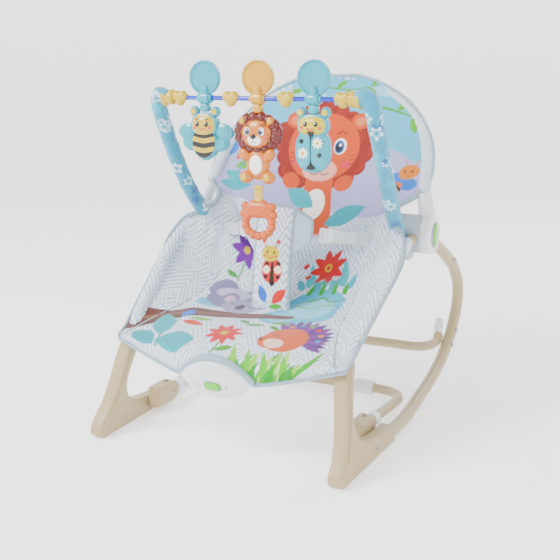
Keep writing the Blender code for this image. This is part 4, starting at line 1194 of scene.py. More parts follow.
def build_sling():
    grid, normal = sling_grid()
    rows, columns = grid.shape[:2]
    across = across_lengths(grid)
    v_grid = np.tile(V_PLACES[:, None], (1, columns))
    along = np.tile(ALONG[:, None], (1, columns))
    top = grid.reshape(-1, 3)
    under = (grid - normal * THICK).reshape(-1, 3)
    count = len(top)

    def index(r, c, layer=0):
        return layer * count + r * columns + c

    faces = []
    for r in range(rows - 1):
        for c in range(columns - 1):
            faces.append((index(r, c), index(r, c + 1), index(r + 1, c + 1), index(r + 1, c)))
            faces.append((index(r, c, 1), index(r + 1, c, 1), index(r + 1, c + 1, 1), index(r, c + 1, 1)))
    top_faces = [f for f in faces if f[0] < count]
    under_faces = [f for f in faces if f[0] >= count]
    rim = []
    for r in range(rows - 1):
        rim.append((index(r, 0), index(r + 1, 0), index(r + 1, 0, 1), index(r, 0, 1)))
        rim.append((index(r + 1, columns - 1), index(r, columns - 1), index(r, columns - 1, 1),
                    index(r + 1, columns - 1, 1)))
    for c in range(columns - 1):
        rim.append((index(0, c + 1), index(0, c), index(0, c, 1), index(0, c + 1, 1)))
        rim.append((index(rows - 1, c), index(rows - 1, c + 1), index(rows - 1, c + 1, 1),
                    index(rows - 1, c, 1)))
    shell = mesh_object("shell", np.concatenate((top, under)), faces + rim, [PRINTED], smooth=0)
    bpy.context.collection.objects.link(shell)
    pins = {}
    for r in range(rows):
        for c in range(columns):
            weight = padding_pins(U_PLACES[c], V_PLACES[r])
            for layer in (0, 1):
                pins[index(r, c, layer)] = max(weight, 0.9 if layer and weight == 0 else weight)
    settled = simulate(shell, pins, 9.0, 0.0060)
    bpy.data.objects.remove(shell, do_unlink=True)

    def half(name, chosen, layer, levels):
        used = settled[layer * count:(layer + 1) * count]
        obj = mesh_object(name, used, [[i - layer * count for i in f] for f in chosen], [PRINTED], smooth=0)
        bpy.context.collection.objects.link(obj)
        for label, values in (("across", across), ("along", along), ("row", v_grid)):
            stored = obj.data.attributes.new(label, "FLOAT", "POINT")
            stored.data.foreach_set("value", values.reshape(-1).astype(np.float32))
        mesh = refined(obj, levels)
        bpy.data.objects.remove(obj, do_unlink=True)
        mesh.shade_smooth()
        return bpy.data.objects.new(name, mesh)

    fabric = half("seat_fabric", top_faces, 0, 2)
    backing = half("seat_backing", under_faces, 1, 1)
    print_sling(fabric.data)
    wrinkle(fabric.data)
    rows_back = read_values(backing.data, "row")
    dyed(backing.data, np.tile(np.array(tint("#DDE3E9")), (len(rows_back), 1)))
    for obj, nodes in ((fabric, ("seat_pad", "wing_pad_right", "wing_pad_left", "back_pad")), (backing, ())):
        blended(obj)
        if nodes:
            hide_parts(*nodes)


def blended(obj):
    """Puts cloth that crosses the recline hinge in the scene, with its placing baked into the mesh."""
    bpy.context.collection.objects.link(obj)
    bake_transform(obj)


def print_sling(mesh):
    across, along, row = (read_values(mesh, n) for n in ("across", "along", "row"))
    back_from = float(np.interp(BACK_START, V_PLACES, ALONG))
    seat = Dye(across, along, "#EEF3F7")
    seat.chevrons(np.ones(len(across), bool))
    seat_print(seat)
    back = Dye(across, along - back_from, "#EEF3F7")
    back_print(back)
    is_back = np.clip((row - 7.75) * 6, 0, 1)[:, None]
    rgb = seat.rgb * (1 - is_back) + back.rgb * is_back
    dyed(mesh, rgb)


def wrinkle(mesh):
    """Small puckers along the seams and soft folds where the cloth is drawn in."""
    across, along, row = (read_values(mesh, n) for n in ("across", "along", "row"))
    place = np.empty(len(row) * 3)
    facing = np.empty(len(row) * 3)
    mesh.vertices.foreach_get("co", place)
    mesh.vertices.foreach_get("normal", facing)
    place, facing = place.reshape(-1, 3), facing.reshape(-1, 3)
    wide = np.abs(across)
    sewn = np.interp(row, np.arange(len(SEAM_ROWS)) - 1.0, SEAM_ROWS) * 0.203
    near_seam = np.exp(-((wide - sewn) / 0.010) ** 2) * (row < LAST_WING_ROW)
    near_edge = np.exp(-((row + 0.6) / 0.5) ** 2)
    fold = np.exp(-((row - 6.35) / 0.6) ** 2)
    lift = (0.0007 * near_seam * np.sin(along * 420 + 2 * np.sin(along * 90))
            + 0.0008 * near_edge * np.sin(across * 310 + 1.5 * np.sin(across * 70))
            + 0.0009 * fold * np.sin(across * 160 + 3 * np.sin(across * 33))
            + 0.0006 * np.sin(along * 75 + across * 46) * np.sin(across * 58 - along * 24))
    place += facing * lift[:, None]
    mesh.vertices.foreach_set("co", place.reshape(-1))
    mesh.update()


build_sling()


# ------------------------------------------------------------------ sleeves, piping and the crotch pad

def dyed_sweep(name, path, radius, sides, paint, colour, body=None, nodes=(), caps=True):
    """A cloth tube with a print: colour is given a Dye in distances round and along the tube."""
    verts, faces = sweep(path, radius, sides, caps)
    lengths = np.concatenate(([0], np.cumsum([(b - a).length for a, b in zip(path, path[1:])])))
    size = radius(0.5, 0) if callable(radius) else radius
    round_it = np.tile(np.arange(sides) * 2 * math.pi * size / sides, len(path))
    along = np.repeat(lengths, sides)
    obj = mesh_object(name, verts, faces, [paint], smooth=60)
    dye = Dye(round_it, along, "#EEF3F7")
    colour(dye, 2 * math.pi * size, lengths[-1])
    dyed(obj.data, dye.rgb)
    return link(obj, body, nodes) if body else obj


def even_path(points, step):
    """The smooth curve through the points, cut into equal steps."""
    line = smooth_path([tuple(p) for p in points], 16)
    lengths = np.concatenate(([0], np.cumsum([(b - a).length for a, b in zip(line, line[1:])])))
    wanted = np.linspace(0, lengths[-1], max(4, int(lengths[-1] / step)))
    cols = [np.interp(wanted, lengths, [p[k] for p in line]) for k in range(3)]
    return [Vector(p) for p in zip(*cols)]


def edge_line(side, start, end, count, out=0.0, u=1.0):
    return [sling(side * u, v) + Vector((side * out, TOE_Y, 0)) for v in np.linspace(start, end, count)]


SLEEVE_END_Y = 0.292


def build_sleeves():
    """Cloth sleeves round the tubes at the edges of the fabric, and the grey binding along them."""
    for word, side in SIDES:
        tube_path = [Vector(p) + Vector((0, TOE_Y, 0)) for p in mirrored(SIDE_TUBE_PATH, side)]
        path = [p for p in even_path(tube_path, 0.0016) if p.y < SLEEVE_END_Y + TOE_Y]
        puckered = (lambda share, turn: 0.0104 + 0.0004 * math.sin(150 * share + 2 * math.cos(turn))
                    - 0.0050 * max(0.0, share - 0.93) / 0.07)
        sleeve = dyed_sweep("wing_sleeve_" + word, path, puckered, 36, PRINTED,
                            lambda dye, girth, length: dye.chevrons(np.ones(len(dye.x), bool)))
        link(sleeve, "base")
        trim = Model("wing_binding_" + word)
        line = [hem(side * 0.1885) + Vector((0, TOE_Y, 0))] + edge_line(side, -0.5, 6.2, 26, 0.0012)
        trim.take(*sweep(smooth_path(line, 5), 0.0024, 10), BINDING, False)
        trim.done("base", "pale_fabric")
        bridge = Model("hub_binding_" + word)
        line = edge_line(side, 6.1, 9.3, 22, -0.0005)
        bridge.take(*sweep([p - Vector((0, 0, 0.002)) for p in line],
                           lambda share, turn: 0.0046 + 0.0003 * math.sin(70 * share), 12), BINDING, False)
        blended(bridge.mesh())
    back = [Vector(p) + Vector((0, TOE_Y, 0)) for p in whole_path(BACK_TUBE_PATH[1:])]
    path = even_path(back, 0.0022)
    sleeve = dyed_sweep("back_sleeve", path, lambda share, turn: 0.0102 + 0.0003 * math.sin(300 * share), 30,
                        PRINTED, lambda dye, girth, length: dye.lay(np.full(len(dye.x), -1.0), "#DDE3E9"))
    link(sleeve, "backrest")
    ring = edge_line(1, 9.2, len(ROWS) - 1, 26)
    top = [sling(u, len(ROWS) - 1) + Vector((0, TOE_Y, 0)) for u in np.linspace(1, -1, 12)[1:-1]]
    trim = Model("back_binding")
    trim.take(*sweep(smooth_path(ring + top + list(reversed(edge_line(-1, 9.2, len(ROWS) - 1, 26))), 4),
                     0.0026, 10), BINDING, False)
    trim.done("backrest", "pale_fabric")
    front = [at(x, y, z) for x, y, z in whole_path(FRONT_TUBE_PATH)]
    sleeve = dyed_sweep("front_sleeve", even_path(front, 0.0030), 0.0082, 24, PRINTED,
                        lambda dye, girth, length: dye.lay(np.full(len(dye.x), -1.0), "#DDE3E9"))
    link(sleeve, "base")
    trim = Model("hem_binding")
    line = [hem(x) + Vector((0, TOE_Y - 0.0008, 0)) for x in np.linspace(-0.1885, 0.1885, 75)]
    trim.take(*sweep(line, 0.0030, 10), BINDING, False)
    arc = [hem(x) + Vector((0, TOE_Y - 0.0012, 0.0032)) for x in np.linspace(-0.062, 0.062, 40)]
    trim.take(*sweep(arc, lambda share, turn: 0.0052 + 0.0003 * math.sin(90 * share), 14), BINDING, False)
    trim.done("base", "pale_fabric")
    for word, side in SIDES:
        stitch = Model("wing_seam_" + word)
        line = [sling(side * seam(v), v) + Vector((0, TOE_Y, 0.0002)) for v in np.linspace(-0.4, 5.6, 40)]
        stitch.take(*sweep(line, 0.0013, 8), BINDING, False)
        stitch.done("base", "pale_fabric")


def pillow(name, place, thick, count_u, count_w, paint, colour, size):
    """A padded closed form: place(u, w) is its middle surface and thick(u, w) its thickness."""
    us, ws = np.linspace(-1, 1, count_u), np.linspace(0, 1, count_w)
    grid = np.array([[tuple(place(u, w)) for u in us] for w in ws])
    normal = np.cross(np.gradient(grid, axis=1), np.gradient(grid, axis=0))
    normal /= np.maximum(np.linalg.norm(normal, axis=2, keepdims=True), 1e-9)
    depth = np.array([[thick(u, w) for u in us] for w in ws])[:, :, None]
    front, back = grid + normal * depth * 0.5, grid - normal * depth * 0.5
    total = count_u * count_w
    faces = []
    for r in range(count_w - 1):
        for c in range(count_u - 1):
            a, b = r * count_u + c, r * count_u + c + 1
            faces.append((a, b, b + count_u, a + count_u))
            faces.append((total + a, total + a + count_u, total + b + count_u, total + b))
    border = [(0, c) for c in range(count_u)] + [(r, count_u - 1) for r in range(1, count_w)]
    border += [(count_w - 1, c) for c in range(count_u - 2, -1, -1)]
    border += [(r, 0) for r in range(count_w - 2, 0, -1)]
    for (r1, c1), (r2, c2) in zip(border, border[1:] + border[:1]):
        a, b = r1 * count_u + c1, r2 * count_u + c2
        faces.append((b, a, total + a, total + b))
    obj = mesh_object(name, np.concatenate((front.reshape(-1, 3), back.reshape(-1, 3))), faces, [paint],
                      smooth=70)
    across = np.tile(us * size[0], (count_w, 1)).reshape(-1)
    up = np.tile((ws * size[1])[:, None], (1, count_u)).reshape(-1)
    dye = Dye(np.concatenate((across, across)), np.concatenate((up, up)), "#EEF3F7")
    colour(dye)
    dyed(obj.data, dye.rgb)
    return obj


CROTCH_LOW = Vector((0.0, 0.1960, 0.1800))
CROTCH_HIGH = Vector((0.0, 0.2230, 0.3420))
CROTCH_UP = (CROTCH_HIGH - CROTCH_LOW).normalized()
CROTCH_HEIGHT = (CROTCH_HIGH - CROTCH_LOW).length


def crotch_point(x, up):
    """A place on the crotch pad's middle surface; beyond its sides the flaps turn backwards."""
    wide = abs(x)
    turn = max(0.0, wide - 0.027)
    sag = 0.004 * math.sin(math.pi * min(1.0, up / CROTCH_HEIGHT))
    return (CROTCH_LOW + CROTCH_UP * up + Vector((x - math.copysign(turn * 0.12, x), turn * 0.53 - sag, 0))
            + Vector((0, TOE_Y, 0)))


def crotch_print(dye):
    dye.chevrons(np.ones(len(dye.x), bool))
    dye.leaf((-0.006, 0.012), 0.030, 0.014, "#3F8FE0", 112, "#7FB8EE")
    dye.leaf((0.006, 0.012), 0.032, 0.016, "#E8643C", 50, "#F0906E")
    dye.leaf((0.000, 0.006), 0.024, 0.009, "#7FBF4C", 8)
    body = (0.003, 0.064)
    dye.ellipse(body, (0.0175, 0.0205), "#E4574C")
    dye.stroke([(body[0], body[1] + 0.020), (body[0] + 0.001, body[1] - 0.020)], 0.0022, "#33231F", 0.009)
    for dx, dy in ((-0.009, 0.010), (0.011, 0.012), (-0.010, -0.010), (0.011, -0.009)):
        dye.ellipse((body[0] + dx, body[1] + dy), (0.0034, 0.0034), "#33231F")
    for dx, dy in ((-0.0095, 0.001), (0.0105, 0.002)):
        dye.flower((body[0] + dx, body[1] + dy), 8, 0.0072, 0.0042, "#FFF6E6", "#F7C948")
    face = (-0.001, 0.0905)
    dye.ellipse(face, (0.0150, 0.0125), "#F7DB3D")
    for side in (-1, 1):
        dye.stroke([(face[0] + side * 0.008, face[1] + 0.010), (face[0] + side * 0.012, face[1] + 0.018)],
                   0.0022, "#E4574C")
        dye.ellipse((face[0] + side * 0.0125, face[1] + 0.019), (0.0034, 0.0034), "#E4574C")
        dye.ellipse((face[0] + side * 0.0060, face[1] + 0.002), (0.0017, 0.0022), "#33231F")
        dye.ellipse((face[0] + side * 0.0095, face[1] - 0.004), (0.0026, 0.0018), "#F29B6B")
    dye.stroke([(face[0] - 0.005, face[1] - 0.004), (face[0], face[1] - 0.007),
                (face[0] + 0.005, face[1] - 0.004)],
               0.0016, "#C8324A")


def build_crotch_pad():
    half = 0.0295

    def swell(u, w):
        rim = (1 - abs(u) ** 5) * (1 - abs(2 * w - 1) ** 14)
        quilt = 0.0009 * math.sin(w * 31 + u * 2.2) * math.sin(w * 13)
        return 0.0012 + max(0.0, rim) ** 0.5 * (0.0100 + quilt)

    pad = pillow("crotch_pad_fabric", lambda u, w: crotch_point(u * half, w * CROTCH_HEIGHT), swell, 61, 150,
                 PRINTED, crotch_print, (half, CROTCH_HEIGHT))
    link(pad, "base", ("crotch_pad",))
    trim = Model("crotch_binding")
    for side in (-1, 1):
        line = [crotch_point(side * (half + 0.0004), CROTCH_HEIGHT * w) for w in np.linspace(-0.01, 1.0, 30)]
        trim.take(*sweep(line, lambda share, turn: 0.0030 + 0.0016 * abs(math.sin(turn)), 12), BINDING,
                  False)
    arc = []
    for k in np.linspace(-1, 1, 41):
        arc.append(crotch_point(k * 0.0590, CROTCH_HEIGHT + 0.0015 - 0.0230 * abs(k) ** 2.4))
    trim.take(*sweep(arc, 0.0030, 12), BINDING, False)
    for side in (-1, 1):
        edge = [crotch_point(side * x, z) for x, z in ((0.0590, CROTCH_HEIGHT - 0.0215), (0.0600, 0.126),
                                                      (0.0560, 0.110), (0.0440, 0.100), (0.0310, 0.090))]
        trim.take(*sweep(smooth_path([tuple(p) for p in edge], 6), 0.0022, 10), BINDING, False)
    trim.done("base", "pale_fabric")
    for word, side in SIDES:
        def flap(u, w, side=side):
            x = 0.0300 + (u + 1) / 2 * 0.0290
            top = CROTCH_HEIGHT - 0.0230 * (x / 0.0590) ** 2.4
            low = 0.0900 + 0.0200 * max(0.0, (u + 1) / 2) ** 1.3
            return crotch_point(side * x, low + (top - low) * w)

        def flap_depth(u, w):
            rim = (1 - abs(u) ** 6) * (1 - abs(2 * w - 1) ** 8)
            return 0.0010 + max(0.0, rim) ** 0.5 * 0.0060 + 0.0004 * math.sin(u * 9 + w * 14)

        piece = pillow("crotch_flap_" + word, flap, flap_depth, 28, 50, PRINTED,
                       lambda dye: dye.lay(np.full(len(dye.x), -1.0), "#D3DCE3"), (0.0145, 0.060))
        link(piece, "base")


def strap_mesh(path, wide, up, thickness=0.0016):
    """A flat strap along a path; up is the direction across its width at each point."""
    verts, faces = [], []
    for i, place in enumerate(path):
        ahead = (path[min(i + 1, len(path) - 1)] - path[max(i - 1, 0)]).normalized()
        rise = (up - ahead * up.dot(ahead)).normalized()
        out = ahead.cross(rise)
        for a, b in ((-1, -1), (1, -1), (1, 1), (-1, 1)):
            verts.append(place + rise * a * wide / 2 + out * b * thickness / 2)
    for i in range(len(path) - 1):
        for k in range(4):
            a, b = i * 4 + k, i * 4 + (k + 1) % 4
            faces.append((a, b, b + 4, a + 4))
    faces += [(3, 2, 1, 0), tuple(len(path) * 4 - 4 + k for k in range(4))]
    return verts, faces


def build_belts():
    """Waist belts with side-release buckles."""
    for word, side in SIDES:
        ahead = Vector((side * math.cos(math.radians(36)), math.sin(math.radians(36)), -0.12)).normalized()
        start = at(side * 0.0635, 0.2420, 0.2980)
        up = (Vector((0, 0, 1)) - ahead * ahead.z).normalized()
        face = ahead.cross(up).normalized() * -side
        basis = Matrix((ahead, face, up)).transposed()
        buckle = Model("buckle_body_" + word)

        def block(x0, x1, z0, z1, depth, paint=WHITE, power=5.0, lift=0.0):
            shape = oval((x1 - x0) / 2, (z1 - z0) / 2, 32, power=power)
            before = len(buckle.verts)
            buckle.pad(shape, depth, (0, 0, 0), paint, "front", 0.25, min(0.0012, depth * 0.3))
            for i in range(before, len(buckle.verts)):
                shift = Vector(((x0 + x1) / 2, -lift, (z0 + z1) / 2))
                local = buckle.verts[i] - Vector((0, TOE_Y, 0)) + shift
                buckle.verts[i] = start + basis @ local

        block(0.000, 0.013, -0.0120, 0.0120, 0.0066)
        block(0.012, 0.030, -0.0105, 0.0105, 0.0052)
        block(0.012, 0.020, -0.0124, -0.0085, 0.0046, WHITE, 3.0)
        block(0.012, 0.020, 0.0085, 0.0124, 0.0046, WHITE, 3.0)
        block(0.0035, 0.0065, -0.0085, 0.0085, 0.0008, GREY, 4.0, 0.0036)
        block(0.0240, 0.0262, -0.0085, 0.0085, 0.0008, GREY, 4.0, 0.0030)
        buckle.done("base", "white_plastic", ("buckle_" + word,))
        belt = Model("waist_belt_" + word + "_web")
        path = [start + ahead * s + face * (0.0010 * math.sin(s * 120))
                for s in np.linspace(0.0285, 0.0810, 24)]
        belt.take(*strap_mesh(path, 0.0195, up), WEBBING, False)
        tail = [start + ahead * s + face * (-0.0030 - 0.0020 * math.sin((s - 0.028) * 50))
                for s in np.linspace(0.0285, 0.0600, 14)]
        belt.take(*strap_mesh(tail, 0.0190, up), WEBBING, False)
        belt.done("base", "white_webbing", ("waist_belt_" + word,))


# ------------------------------------------------------------------ toy bar and toys

BAR_Y, BAR_Z = 0.160, 0.509
FRONT = BAR_Y - 0.0085           # the front face of a toy


def leg_print(dye, girth, length):
    dye.lay(np.full(len(dye.x), -1.0), "#4FC3D9")
    for k in range(30):
        x, y = rng.uniform(0, girth), rng.uniform(0, length)
        size = rng.uniform(0.0070, 0.0140)
        code = ("#2C9FC4", "#E9F8FB", "#84D9E8", "#FFFFFF")[k % 4]
        points = (4, 8, 5)[k % 3]
        turn = rng.uniform(0, 90)
        for wrap in (-girth, 0, girth):
            dye.star((x + wrap, y), size, code, points, turn, 0.42)
            if k % 2:
                dye.star((x + wrap, y), size * 0.55, "#4FC3D9", points, turn, 0.42)


def heart_bead(model, x):
    """A bead like a rounded heart, on the rod."""
    for dx, dz, r in ((-0.0052, 0.0022, 0.0086), (0.0052, 0.0022, 0.0086), (0.0, -0.0046, 0.0080),
                      (0.0, 0.0, 0.0088)):
        model.ball((x + dx, BAR_Y, BAR_Z + dz), (r, r * 0.95, r), YELLOW)


def build_toy_bar():
    rod = Model("toy_rod")
    rod.turned([(0, 0.0030), (0.0005, 0.0035), (0.3035, 0.0035), (0.304, 0.0030)], (-0.152, BAR_Y, BAR_Z),
               (1, 0, 0), BLUE, 24)
    rod.done("toy_bar", "blue_plastic", ("toy_bar_rod",))
    for word, side in SIDES:
        upper = [(0.1590, 0.1600, 0.5095), (0.1700, 0.1580, 0.5125), (0.1762, 0.1640, 0.4990)]
        route = [Vector(p) + Vector((0, TOE_Y, 0)) for p in mirrored(upper + LEG_PATH[1:], side)]
        path = even_path(route, 0.0014)
        puff = (lambda share, turn: 0.0120 + 0.0005 * math.sin(210 * share + 1.5 * math.sin(turn * 2))
                * math.sin(31 * share) + 0.0003 * math.sin(3 * turn + 60 * share)
                - 0.0012 * max(0, share - 0.9) * 10)
        cover = dyed_sweep("toy_leg_cover_" + word, path, puff, 56, PLUSH, leg_print)
        link(cover, "toy_bar", ("toy_bar_leg_" + word,))
        joint = Model("toy_joint_" + word)
        joint.turned([(0, 0.0060), (0.0004, 0.0085), (0.0020, 0.0100), (0.0060, 0.0112), (0.0085, 0.0100),
                      (0.0105, 0.0104), (0.0140, 0.0130), (0.0175, 0.0138), (0.0185, 0.0128)],
                     (side * 0.144, BAR_Y, BAR_Z), (side, 0, 0), YELLOW)
        joint.ball((side * 0.1490, BAR_Y, BAR_Z + 0.0065), (0.0062, 0.0080, 0.0062), YELLOW)
        joint.done("toy_bar", "yellow_plastic", ("toy_bar_joint_" + word,))
        stop = Model("toy_heart_" + word)
        heart_bead(stop, side * 0.1345)
        stop.done("toy_bar", "yellow_plastic")
        bead = Model("toy_heart_bead_" + word)
        heart_bead(bead, side * 0.0455)
        bead.done("bead_" + word, "yellow_plastic", ("toy_bead_" + word,))


def clip(label, x, paint, body, slot):
    """A disc with a raised rim on a stem, and the barrel that runs on the rod."""
    model = Model("toy_clip_" + label)
    disc = (x, BAR_Y - 0.0045, 0.539)
    model.turned([(0.0022, 0.0010), (0.0022, 0.0150), (0.0022, 0.0214), (0.0008, 0.0224), (0.0, 0.0234),
                  (0.0004, 0.0250), (0.0016, 0.0255), (0.0074, 0.0255), (0.0086, 0.0250), (0.0090, 0.0234),
                  (0.0082, 0.0224), (0.0068, 0.0214), (0.0068, 0.0150), (0.0068, 0.0010)], disc, (0, 1, 0),
                  paint, 56)
    model.tube([(x, BAR_Y, 0.5150), (x, BAR_Y, 0.5060 - 0.0145)], 0.0046, paint, 16)
    model.turned([(0, 0.0070), (0.0006, 0.0086), (0.0020, 0.0090), (0.0150, 0.0090), (0.0164, 0.0086),
                  (0.0170, 0.0070)], (x - 0.0085, BAR_Y, BAR_Z), (1, 0, 0), paint)
    model.pad(oval(0.0062, 0.0080, 24, power=3), 0.0120, (x, BAR_Y, 0.5190), paint, rounding=0.0016)
    for side in (-1, 1):
        model.turned([(0, 0.0058), (0.0024, 0.0064), (0.0036, 0.0058)], (x + side * 0.0085, BAR_Y, BAR_Z),
                     (side, 0, 0), paint)
    model.pad(oval(0.0075, 0.0062, 24, power=3), 0.0105, (x, BAR_Y, 0.4945), paint, rounding=0.0016)
    return model.done(body, slot, ("disc_clip_" + label,))


def feelers(model, x, reach, z, size, dot, paint):
    """Two short stalks with a round tip and a coloured dot."""
    for side in (-1, 1):
        model.tube([(x + side * 0.012, BAR_Y, 0.480), (x + side * (reach - 0.0005), BAR_Y, z - 0.0005)],
                   0.0050, TEAL)
        model.ball((x + side * reach, BAR_Y, z), (size, 0.0060, size), TEAL)
        model.spot((x + side * reach, BAR_Y - 0.0060, z), (dot, dot), paint)


def bug_head(model, x, z, hood, face, power, paint):
    """A coloured face on a slightly larger hood."""
    model.pad(oval(*hood, 40, power=power), 0.0150, (x, BAR_Y, z), TEAL, dome=0.2, rounding=0.0035)
    model.pad(oval(*face, 40, power=power), 0.0180, (x, BAR_Y, z), paint, dome=0.45, rounding=0.0035)


def build_bee():
    x, model = -0.090, Model("bee")
    for side in (-1, 1):
        for dx, z, rx, rz, turn in ((0.0310, 0.4590, 0.0170, 0.0125, -12),
                                    (0.0265, 0.4400, 0.0150, 0.0105, 24)):
            shape = oval(rx, rz, 32)
            a = math.radians(turn) * side
            shape = [(p * math.cos(a) - q * math.sin(a), p * math.sin(a) + q * math.cos(a))
                     for p, q in shape]
            model.pad(shape, 0.0080, (x + side * dx, BAR_Y + 0.001, z), TEAL, dome=0.5, rounding=0.0028)
            model.spot((x + side * (dx + 0.001), BAR_Y - 0.0046, z), (rx * 0.62, rz * 0.6), TEAL, a, 0.0006)
    shape = [(0.0235 * math.cos(a) * (1 - 0.10 * math.sin(a) * (math.sin(a) > 0)),
              (0.0235 if math.sin(a) > 0 else 0.0270 - 0.004 * abs(math.cos(a))) * math.sin(a))
             for a in np.linspace(0, 2 * math.pi, 44, endpoint=False)]
    model.pad(shape, 0.0130, (x, BAR_Y, 0.4420), TEAL, dome=0.25, rounding=0.0035)
    rows = 12
    for k in range(rows):
        low, high = -0.0215 + k * 0.0037, -0.0215 + (k + 1) * 0.0037
        wide = [0.0195 * math.sqrt(max(0.02, 1 - ((z + 0.001) / 0.0235) ** 2)) for z in (low, high)]
        arc = []
        for s in np.linspace(-1, 1, 9):
            arc.append((s * wide[0], low - 0.0030 * (1 - s * s)))
        for s in np.linspace(1, -1, 9):
            arc.append((s * wide[1], high - 0.0030 * (1 - s * s)))
        band = BLACK if (k // 2) % 2 == 0 else YELLOW
        model.pad(arc, 0.0150 + 0.0012 * math.sin(math.pi * (k + 0.5) / rows), (x, BAR_Y, 0.4440), band,
                  dome=0.10, rounding=0.0004)
    feelers(model, x, 0.0180, 0.4890, 0.0082, 0.0046, YELLOW)
    bug_head(model, x, 0.4690, (0.0225, 0.0185), (0.0200, 0.0162), 2.5, YELLOW)
    for side in (-1, 1):
        eye = (x + side * 0.0078, FRONT - 0.0043, 0.4705)
        model.spot(eye, (0.0033, 0.0042), BLACK)
        model.spot((eye[0] - 0.0009, eye[1] - 0.0007, eye[2] + 0.0016), (0.0012, 0.0014), PAPER)
        model.spot((x + side * 0.0128, FRONT - 0.0030, 0.4650), (0.0026, 0.0019), PINK)
        model.tube([(x + side * 0.0050, FRONT - 0.0042, 0.4772), (x + side * 0.0085, FRONT - 0.0038, 0.4785),
                    (x + side * 0.0115, FRONT - 0.0032, 0.4770)], 0.0005, BLACK, 6)
    model.tube([(x - 0.0045, FRONT - 0.0046, 0.4645), (x, FRONT - 0.0047, 0.4620),
                (x + 0.0045, FRONT - 0.0046, 0.4645)],
               0.0007, RED, 6)
    model.done("bee_unit", "yellow_plastic", ("toy_bee",))


def build_lion():
    model = Model("lion")
    cx, cz = 0.0, 0.4590
    count = 15
    for k in range(count):
        a = 2 * math.pi * (k + 0.25) / count
        px, pz = cx + 0.0305 * math.cos(a), cz + 0.0225 * math.sin(a)
        size = 0.0098 + 0.0008 * math.cos(3 * a)
        model.ball((px, BAR_Y, pz), (size, 0.0090, size), MANE)
        coil = []
        for s in np.linspace(0, 1, 22):
            b = a + 2 * math.pi * 1.6 * s
            r = size * (0.15 + 0.62 * s)
            coil.append(Vector((px + r * math.cos(b),
                                BAR_Y - 0.0090 * math.sqrt(max(0.0, 1 - (r / size) ** 2)),
                                pz + r * math.sin(b))))
        model.take(*sweep(coil, 0.0007, 6), CURL)
    model.pad(oval(0.0300, 0.0240, 36), 0.0150, (cx, BAR_Y + 0.001, cz), MANE, dome=0.2)
    for side in (-1, 1):
        model.ball((cx + side * 0.0225, BAR_Y - 0.0060, cz + 0.0175), (0.0068, 0.0040, 0.0068), LION)
        model.ball((cx + side * 0.0225, BAR_Y - 0.0085, cz + 0.0175), (0.0040, 0.0024, 0.0040), YELLOW)
    model.ball((cx, BAR_Y - 0.0030, cz - 0.001), (0.0265, 0.0120, 0.0225), LION, rings=20)
    face = BAR_Y - 0.0150
    model.ball((cx, face + 0.0035, cz - 0.0095), (0.0118, 0.0062, 0.0086), PAPER)
    model.ball((cx, face - 0.0020, cz - 0.0045), (0.0046, 0.0028, 0.0034), BLACK)
    model.tube([(cx, face - 0.0025, cz - 0.0070), (cx, face - 0.0024, cz - 0.0110)], 0.0005, BLACK, 6)
    for side in (-1, 1):
        model.tube([(cx, face - 0.0024, cz - 0.0110), (cx + side * 0.0030, face - 0.0020, cz - 0.0128),
                    (cx + side * 0.0060, face - 0.0010, cz - 0.0110)], 0.0005, BLACK, 6)
        eye = (cx + side * 0.0118, face + 0.0016, cz + 0.0030)
        model.ball(eye, (0.0050, 0.0022, 0.0062), PAPER)
        model.ball((eye[0] - side * 0.0006, eye[1] - 0.0012, eye[2] - 0.0002), (0.0037, 0.0016, 0.0048),
                   SKY_EYE)
        model.ball((eye[0] - side * 0.0006, eye[1] - 0.0020, eye[2] - 0.0002), (0.0025, 0.0012, 0.0034),
                   BLACK)
        model.ball((eye[0] + 0.0010, eye[1] - 0.0030, eye[2] + 0.0018), (0.0011, 0.0006, 0.0013), PAPER)
        model.tube([(eye[0] - side * 0.002, face + 0.0012, cz + 0.0118),
                    (eye[0] + side * 0.003, face + 0.0016, cz + 0.0135),
                    (eye[0] + side * 0.007, face + 0.0030, cz + 0.0118)], 0.0008, CURL, 6)
        model.ball((cx + side * 0.0175, face + 0.0040, cz - 0.0065), (0.0040, 0.0014, 0.0026), PINK)
        for k in (-1, 0, 1):
            model.tube([(cx + side * 0.0190, face + 0.0034, cz - 0.0050 + k * 0.0028),
                        (cx + side * 0.0245, face + 0.0075, cz - 0.0042 + k * 0.0036)], 0.0004, CURL, 6)
    model.ball((cx, BAR_Y, 0.4140), (0.0195, 0.0105, 0.0245), LION, rings=18)
    model.ball((cx, BAR_Y - 0.0072, 0.4130), (0.0112, 0.0052, 0.0152), PAPER)
    for side in (-1, 1):
        model.ball((cx + side * 0.0205, BAR_Y - 0.0040, 0.4270), (0.0085, 0.0070, 0.0110), LION,
                   (0, side * 0.7, 0))
        model.ball((cx + side * 0.0185, BAR_Y - 0.0030, 0.3940), (0.0110, 0.0092, 0.0098), LION)
        model.ball((cx + side * 0.0190, BAR_Y - 0.0106, 0.3935), (0.0050, 0.0022, 0.0046), YELLOW)
    model.done("lion_unit", "orange_plastic", ("toy_lion",))


